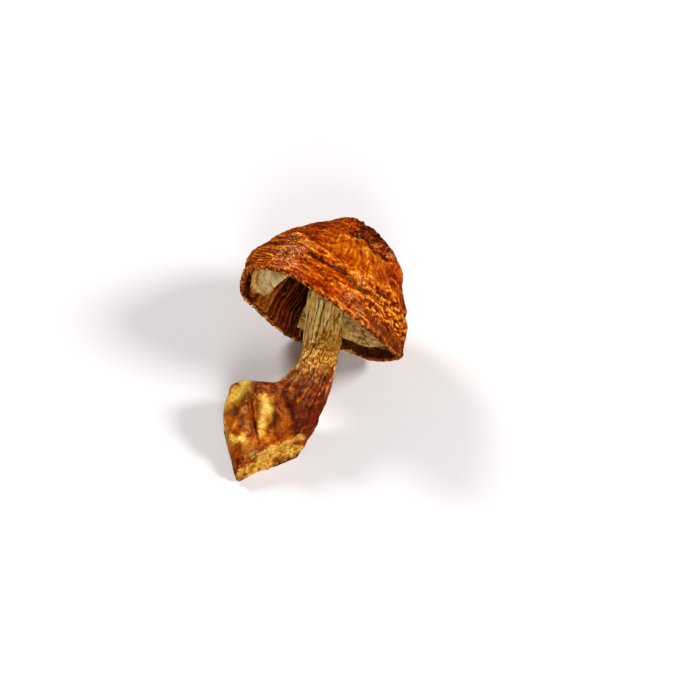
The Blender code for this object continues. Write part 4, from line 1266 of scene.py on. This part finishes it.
# %% Stem patches
# name of the colour: lines of (x, z), reach, strength
STEM_PATCHES = {
    "golden": (
        (((-5.2, -23.4), (-3.6, -23.0), (-2.4, -23.4)), 1.4, 0.75),
        (((-3.0, -23.6), (-2.6, -25.6), (-2.6, -28.0)), 1.7, 0.8),
        (((-2.6, -28.0), (-2.4, -30.2)), 0.9, 0.6),
        (((-12.2, -26.8), (-11.2, -31.0), (-8.6, -34.2)), 1.2, 0.7),
        (((-5.8, -32.8), (-4.4, -34.4)), 1.1, 0.6),
    ),
    "red": (
        (((7.6, -11.4), (6.8, -14.0), (6.4, -18.0), (6.0, -21.0), (5.6, -24.0)), 2.7, 1.0),
        (((4.4, -13.2), (3.4, -16.0), (2.6, -19.6)), 2.0, 0.95),
        (((2.4, -15.8), (1.0, -19.2)), 1.5, 0.85),
        (((0.4, -14.6), (-1.4, -18.0), (-3.6, -19.6)), 2.1, 0.75),
        (((-0.2, -19.2), (1.6, -20.8), (3.2, -22.6), (4.6, -25.0)), 1.6, 0.95),
        (((-9.4, -20.6), (-6.7, -20.6), (-3.9, -19.9), (-1.6, -19.6)), 1.2, 0.9),
        (((-6.4, -22.6), (-4.4, -21.4), (-2.2, -21.2), (-0.6, -22.8), (-0.4, -25.6), (-0.9, -27.6)),
         0.9, 0.85),
        (((0.2, -26.0), (1.4, -27.6)), 1.8, 0.4),
        (((-7.0, -21.2), (-8.0, -23.0), (-9.3, -25.5), (-11.0, -27.4)), 0.9, 0.85),
    ),
    "pale": (
        (((-1.1, 3.0), (-0.6, 0.4), (0.0, -3.0), (0.8, -6.4)), 0.48, 1.0),
        (((1.7, 1.4), (4.0, -2.1), (5.2, -4.6)), 1.6, 0.45),
        (((-9.4, -21.2), (-10.8, -23.4), (-12.2, -25.8)), 1.8, 0.95),
        # This patch is a painted highlight: cream light on the top of the bump.
        (((-3.4, -23.6), (-2.3, -24.0), (-2.1, -25.4)), 1.1, 0.85),
        (((-8.5, -33.4), (-5.6, -32.5)), 0.8, 1.0),
        (((-11.2, -30.5), (-10.0, -33.2)), 0.6, 0.6),
    ),
    "dark": (
        (((0.1, -20.9), (1.4, -21.9), (2.8, -23.4), (3.8, -25.4), (4.4, -26.8)), 0.9, 1.0),
        (((4.4, -22.5), (5.6, -25.0)), 1.1, 0.7),
        (((-9.8, -27.4), (-8.4, -28.6), (-7.3, -30.2)), 1.1, 0.6),
        (((-11.4, -26.4), (-10.4, -27.0)), 0.7, 0.6),
        (((-4.4, -36.6), (-2.9, -34.9), (-1.0, -32.9)), 0.6, 0.8),
        (((-5.2, -37.4), (-4.8, -40.2)), 1.0, 0.9),
        (((-6.4, -34.2), (-4.6, -35.4)), 0.9, 0.4),
    ),
    "grey": ((((-2.9, -35.0), (-2.5, -34.8)), 0.5, 1.0),),
}
print("Stem patches:", sum(len(patches) for patches in STEM_PATCHES.values()))

# %% Patches on the points
patch_drift = 0.7 * stem_drift[..., :2] + 0.25 * np.stack([fine_wrinkles, granules], -1)
blotch = 0.5 + 0.5 * grain(stem_points, 2.6, (2, 9, 4))
stem_weights = {}
for key, patches in STEM_PATCHES.items():
    total = np.zeros(blotch.shape)
    for line, reach, strength in patches:
        off = off_line(from_above + patch_drift, np.array(line, float))
        total = np.maximum(total, strength * np.exp(-((off / reach) ** 2.5)))
    stem_weights[key] = total * in_view


def at_least(key, values):
    """Raises one of the stem's weights to these values where it is lower."""
    stem_weights[key] = np.maximum(stem_weights[key], values)


hidden = (1.0 - in_view) * on_foot
at_least("red", 0.7 * (1.0 - in_view) * step(-along_z, 9.0, 14.0) * step(blotch, 0.35, 0.6))
on_right = step(unit_x, 0.3, 0.8) * step(-along_z, 9.0, 13.0) * (1.0 - step(-along_z, 23.0, 26.0))
at_least("red", 0.95 * on_right)
at_least("dark", 0.7 * hidden * step(blotch, 0.55, 0.75))
at_least("pale", 0.7 * hidden * (1.0 - step(blotch, 0.3, 0.45)))
print("Red covers", round(100 * float((stem_weights["red"] > 0.5).mean())), "% of the stem")

# %% Cut, scars and worn crests
# The upper edge of the cut, seen from above, and the dark scars along its lower edge with their reach
CUT_BORDER = (
    (-6.0, -42.6), (-4.9, -39.8), (-4.0, -38.0), (-1.6, -34.1), (0.7, -30.8), (3.0, -28.8), (4.6, -26.1),
    (6.0, -24.4),
)
SCAR_SPOTS = (
    ((1.3, 5.8, -33.0), 1.0), ((2.4, 6.8, -32.6), 1.3), ((3.6, 7.6, -31.6), 1.2), ((4.8, 8.1, -30.6), 1.1),
    ((-1.4, 5.0, -36.4), 0.5), ((-3.6, 3.6, -39.0), 0.5),
)

border = np.interp(stem_points[..., 0], *np.array(CUT_BORDER).T)
border += 0.5 * stem_drift[..., 0] + 0.2 * fine_wrinkles
cut = np.maximum(on_cut + 0 * border, step(share, 0.78, 0.84) * in_view)
stem_weights["cut"] = step(border - stem_points[..., 2], -0.15, 0.2) * cut
scar = on_cut * step(rim + 0.07 * fine_wrinkles, 0.82, 0.97) * step(unit_y, -0.1, 0.3)
for place, reach in SCAR_SPOTS:
    off = np.linalg.norm(stem_points - np.array(place), axis=-1)
    scar = np.maximum(scar, np.exp(-((off / reach) ** 4)))
stem_weights["scar"] = scar
# Painted highlight: the stem's sharp crests are painted pale gold, outside the red patches.
glint_share = (0.5 * upper + 0.4 * granular) * step(blotch, 0.3, 0.6)
stem_weights["crest_glint"] = step(stem_sharp, 0.03, 0.1) * glint_share * (1.0 - stem_weights["red"])
stem_weights["straw"] = upper
stem_weights["frayed"] = upper * (1.0 - 0.85 * stem_weights["pale"])
# The stem's relief darkens its creases and lightens its crests in the colour: painted shade and painted
# highlight.
stem_relief = np.clip(stem_sharp / 0.12, -1.0, 1.0) * (1.0 - 0.35 * stem_weights["red"])
at_least("golden", granular)
stem_weights["grains"] = granular
print("Stem weights:", ", ".join(stem_weights))

# %% [markdown]
# ## The finish of the stem
#
# Under its patches the stem is one flesh with one shine, tinted gold like the cap's. The straw-coloured
# part is duller, because its fibres are dry, and the creases are duller than the crests.

# %% Stem finish
# Colours from crease to crest: first for the whole stem, then for each patch over it
STEM_LAYERS = (
    (None, ((0.2, "#330902"), (0.38, "#7a2603"), (0.5, "#a34504"), (0.62, "#c06a0c"), (0.8, "#eaa838"))),
    ("straw", ((0.24, "#4a2208"), (0.37, "#9c6224"), (0.47, "#dea650"), (0.6, "#f8d07c"), (0.76, "#ffecb0"))),
    ("golden", ((0.2, "#521a04"), (0.36, "#984b09"), (0.5, "#bf781b"), (0.64, "#dfa238"), (0.8, "#fadc86"))),
    ("red", ((0.25, "#220301"), (0.42, "#480a02"), (0.54, "#6c1603"), (0.66, "#902c05"), (0.82, "#c86c1c"))),
    ("pale", ((0.25, "#8e5a12"), (0.42, "#d09628"), (0.54, "#ecb844"), (0.68, "#fadc80"), (0.82, "#fff2bc"))),
    ("dark", ((0.25, "#140301"), (0.45, "#400d05"), (0.58, "#6c220c"), (0.75, "#984418"))),
    # Painted highlight on the sharp crests
    ("crest_glint", ((0.25, "#b8801e"), (0.45, "#dcac4c"), (0.65, "#f8dc90"))),
    ("cut", ((0.2, "#6c3608"), (0.38, "#a06416"), (0.5, "#c68c2e"), (0.62, "#deb04c"), (0.8, "#f6da84"))),
    ("grey", ((0.3, "#54441a"), (0.5, "#846e38"), (0.7, "#a89454"))),
    ("scar", ((0.25, "#240501"), (0.45, "#5e1a05"), (0.6, "#944a10"), (0.8, "#cc8c38"))),
)
stem_finish = layered_finish(
    "dried fibrous mushroom flesh",
    noises={"mottle": MOTTLE, "specks": SPECKS},
    shade=(("relief", 0.24), ("mottle", 0.6), ("specks", 0.4)),
    layers=STEM_LAYERS,
    roughness=(0.3, ("straw", 0.2), ("red", 0.1), ("relief", -0.1)), shine=(1.5, 0.5, "#ffd080"),
    bump=("specks", 0.6, 0.00015),
)

# %% Stem piece
stem = ring_mesh("stem_flesh", stem_points, {
    "relief": stem_relief, **stem_weights, "along": np.gradient(stem_points, axis=0),
}, stem_finish)
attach(stem, "root")
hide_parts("stem")

# %% [markdown]
# ## Strands and crumbs
#
# Dried flesh frays. Straw-coloured strands lie on the stem, short golden grains stand on its middle, and dry
# crumbs cling to the cap's rim. One Geometry Nodes tree makes all three: it strews slender tapered rods where
# a weight of the mesh says, turns each along the grain, and lays its points back on to the surface so that
# it follows the lumps.

# %% One strand
# Its width is the root of 1 - 3.8 z z, with z from -0.5 to 0.5, so its ends are a fifth as wide as its middle
TAPER = -3.8
strand_tree, given = geometry_tree("strands on a surface", {
    "Where": "straw", "Density": 1e6, "Length": 0.004, "Width": 0.0001, "Height": 0.6, "Turned": 0.1,
    "Seed": 1, "Finish": None,
})
tree = strand_tree
rod = add_node(tree, "GeometryNodeMeshCylinder", {
    "Vertices": 6, "Side Segments": 8, "Radius": 1.0, "Depth": 1.0,
})
spot = add_node(tree, "GeometryNodeInputPosition").outputs[0]
axes = add_node(tree, "ShaderNodeSeparateXYZ", {0: spot}).outputs
bulge = add_node(tree, "ShaderNodeMath", {0: axes["Z"], 1: axes["Z"]}, operation="MULTIPLY").outputs[0]
bulge = add_node(tree, "ShaderNodeMath", {0: bulge, 1: TAPER, 2: 1.0}, operation="MULTIPLY_ADD").outputs[0]
bulge = add_node(tree, "ShaderNodeMath", {0: bulge, 1: 0.5}, operation="POWER").outputs[0]
side = add_node(tree, "ShaderNodeMath", {0: axes["Y"], 1: bulge}, operation="MULTIPLY").outputs[0]
stand = add_node(tree, "ShaderNodeMath", {0: axes["X"], 1: bulge}, operation="MULTIPLY").outputs[0]
laid = add_node(tree, "ShaderNodeCombineXYZ", {"X": axes["Z"], "Y": side, "Z": stand}).outputs[0]
marked = add_node(tree, "GeometryNodeStoreNamedAttribute", {
    "Geometry": rod.outputs["Mesh"], "Name": "stand", "Value": stand,
}, data_type="FLOAT", domain="POINT").outputs[0]
strand = add_node(tree, "GeometryNodeSetPosition", {"Geometry": marked, "Position": laid}).outputs[0]
print("Nodes for one strand:", len(tree.nodes))

# %% Strewn strands
SHORTEST, THINNEST = 0.35, 0.5
mask = add_node(tree, "GeometryNodeInputNamedAttribute", {"Name": given["Where"]}, data_type="FLOAT")
density = add_node(tree, "ShaderNodeMath", {
    0: mask.outputs["Attribute"], 1: given["Density"],
}, operation="MULTIPLY").outputs[0]
strewn = add_node(tree, "GeometryNodeDistributePointsOnFaces", {
    "Mesh": given["Geometry"], "Density": density, "Seed": given["Seed"],
})
along = add_node(tree, "GeometryNodeInputNamedAttribute", {"Name": "along"}, data_type="FLOAT_VECTOR")
along = along.outputs["Attribute"]
along = add_node(tree, "ShaderNodeVectorMath", {0: along}, operation="NORMALIZE").outputs[0]
astray = add_node(tree, "FunctionNodeRandomValue", {
    0: (-1, -1, -1), 1: (1, 1, 1), "Seed": 5,
}, data_type="FLOAT_VECTOR").outputs[0]
astray = add_node(tree, "ShaderNodeVectorMath", {
    0: astray, "Scale": given["Turned"],
}, operation="SCALE").outputs[0]
along = add_node(tree, "ShaderNodeVectorMath", {0: along, 1: astray}, operation="ADD").outputs[0]
facing = add_node(tree, "FunctionNodeAlignRotationToVector", {"Vector": along}, axis="X").outputs[0]
facing = add_node(tree, "FunctionNodeAlignRotationToVector", {
    "Rotation": facing, "Vector": strewn.outputs["Normal"],
}, axis="Z", pivot_axis="X").outputs[0]
size, girth = [
    add_node(tree, "FunctionNodeRandomValue", {2: least, 3: 1.0, "Seed": seed}, data_type="FLOAT").outputs[1]
    for least, seed in ((SHORTEST, 6), (THINNEST, 7))
]
long = add_node(tree, "ShaderNodeMath", {0: size, 1: given["Length"]}, operation="MULTIPLY").outputs[0]
thick = add_node(tree, "ShaderNodeMath", {0: girth, 1: given["Width"]}, operation="MULTIPLY").outputs[0]
tone = add_node(tree, "FunctionNodeRandomValue", {"Seed": 8}, data_type="FLOAT").outputs[1]
points = strewn.outputs["Points"]
for key, value in (("thick", thick), ("tone", tone)):
    points = add_node(tree, "GeometryNodeStoreNamedAttribute", {
        "Geometry": points, "Name": key, "Value": value,
    }, data_type="FLOAT", domain="POINT").outputs[0]
scale = add_node(tree, "ShaderNodeCombineXYZ", {"X": long, "Y": thick, "Z": thick}).outputs[0]
spread = add_node(tree, "GeometryNodeInstanceOnPoints", {
    "Points": points, "Instance": strand, "Rotation": facing, "Scale": scale,
})
solid = add_node(tree, "GeometryNodeRealizeInstances", {"Geometry": spread.outputs[0]}).outputs[0]
print("Nodes with the strewing:", len(tree.nodes))

# %% Strands laid on the surface
normal = add_node(tree, "GeometryNodeInputNormal").outputs[0]
under, upright = [
    add_node(tree, "GeometryNodeSampleNearestSurface", {
        "Mesh": given["Geometry"], "Value": value,
    }, data_type="FLOAT_VECTOR").outputs[0]
    for value in (spot, normal)
]
stood, girths = [
    add_node(tree, "GeometryNodeInputNamedAttribute", {"Name": key}, data_type="FLOAT").outputs["Attribute"]
    for key in ("stand", "thick")
]
rise_by = add_node(tree, "ShaderNodeMath", {0: stood, 1: girths}, operation="MULTIPLY").outputs[0]
rise_by = add_node(tree, "ShaderNodeMath", {0: rise_by, 1: given["Height"]}, operation="MULTIPLY").outputs[0]
raised = add_node(tree, "ShaderNodeVectorMath", {0: upright, "Scale": rise_by}, operation="SCALE").outputs[0]
lying = add_node(tree, "ShaderNodeVectorMath", {0: under, 1: raised}, operation="ADD").outputs[0]
solid = add_node(tree, "GeometryNodeSetPosition", {"Geometry": solid, "Position": lying}).outputs[0]
solid = add_node(tree, "GeometryNodeSetShadeSmooth", {"Geometry": solid}).outputs[0]
coloured = add_node(tree, "GeometryNodeSetMaterial", {"Geometry": solid, "Material": given["Finish"]})
add_node(tree, "NodeGroupOutput", {"Geometry": coloured.outputs[0]})
print("Strand tree:", len(tree.nodes), "nodes")

# %% [markdown]
# ## The finishes of the strands
#
# Each strand has one tone of its own, a little mottled along its length, as fibres of a rope have. The
# grains are the glossiest, because their skin dried tight.

# %% Strand finishes
# name of the finish: roughness and colours
STRAND_LOOKS = {
    "dried straw strands": (
        0.4, ((0.28, "#683010"), (0.4, "#a06024"), (0.5, "#d69a44"), (0.62, "#f4ca74"), (0.74, "#ffeaa8"))),
    "glossy golden grains": (
        0.3, ((0.25, "#5e2204"), (0.4, "#a0560a"), (0.52, "#c47c18"), (0.65, "#e6ac40"), (0.78, "#fade88"))),
    "dry rim crumbs": (
        0.4, ((0.25, "#4a1402"), (0.42, "#984008"), (0.54, "#cc7a1c"), (0.65, "#f0b448"), (0.78, "#ffe49a"))),
}
straw_finish, golden_finish, crumb_finish = [
    layered_finish(
        name, noises={"mottle": (900.0, 3.0, 0.6)}, shade=(("tone", 0.5), ("mottle", 0.5)),
        layers=((None, stops),), roughness=(roughness,), shine=(1.5, 0.4, "#ffd890"))
    for name, (roughness, stops) in STRAND_LOOKS.items()
]

# %% [markdown]
# ## Strands, grains and crumbs in place
#
# Where the strands are thick and how long they are is what tells the three apart. They ride on the piece that
# they grew from, as they are the same flesh. Nothing of them goes below the table.

# %% Strands, grains and crumbs
# Density is per square metre, length and width are in metres
for name, host, slot, values in (
    ("stem_strands", stem, "stem_flesh", {
        "Where": "frayed", "Density": 4.6e5, "Length": 0.0075, "Width": 0.00014, "Height": 0.8,
        "Turned": 0.12, "Seed": 3, "Finish": straw_finish}),
    ("stem_grains", stem, "stem_flesh", {
        "Where": "grains", "Density": 7.0e5, "Length": 0.0016, "Width": 0.00017, "Height": 0.8,
        "Turned": 0.35, "Seed": 5, "Finish": golden_finish}),
    ("rim_crumbs", cap, "cap_skin", {
        "Where": "crumbs", "Density": 1.7e6, "Length": 0.0022, "Width": 0.00042, "Height": 0.9,
        "Turned": 1.2, "Seed": 7, "Finish": crumb_finish}),
):
    mesh = grown(name, host.data, strand_tree, values)
    points = mesh_points(mesh)
    points[:, 2] = points[:, 2].clip(0.0)
    mesh.vertices.foreach_set("co", points.ravel())
    mesh.update()
    piece = in_scene(name, mesh)
    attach(piece, "root")
    print(name, triangles(mesh), "triangles")
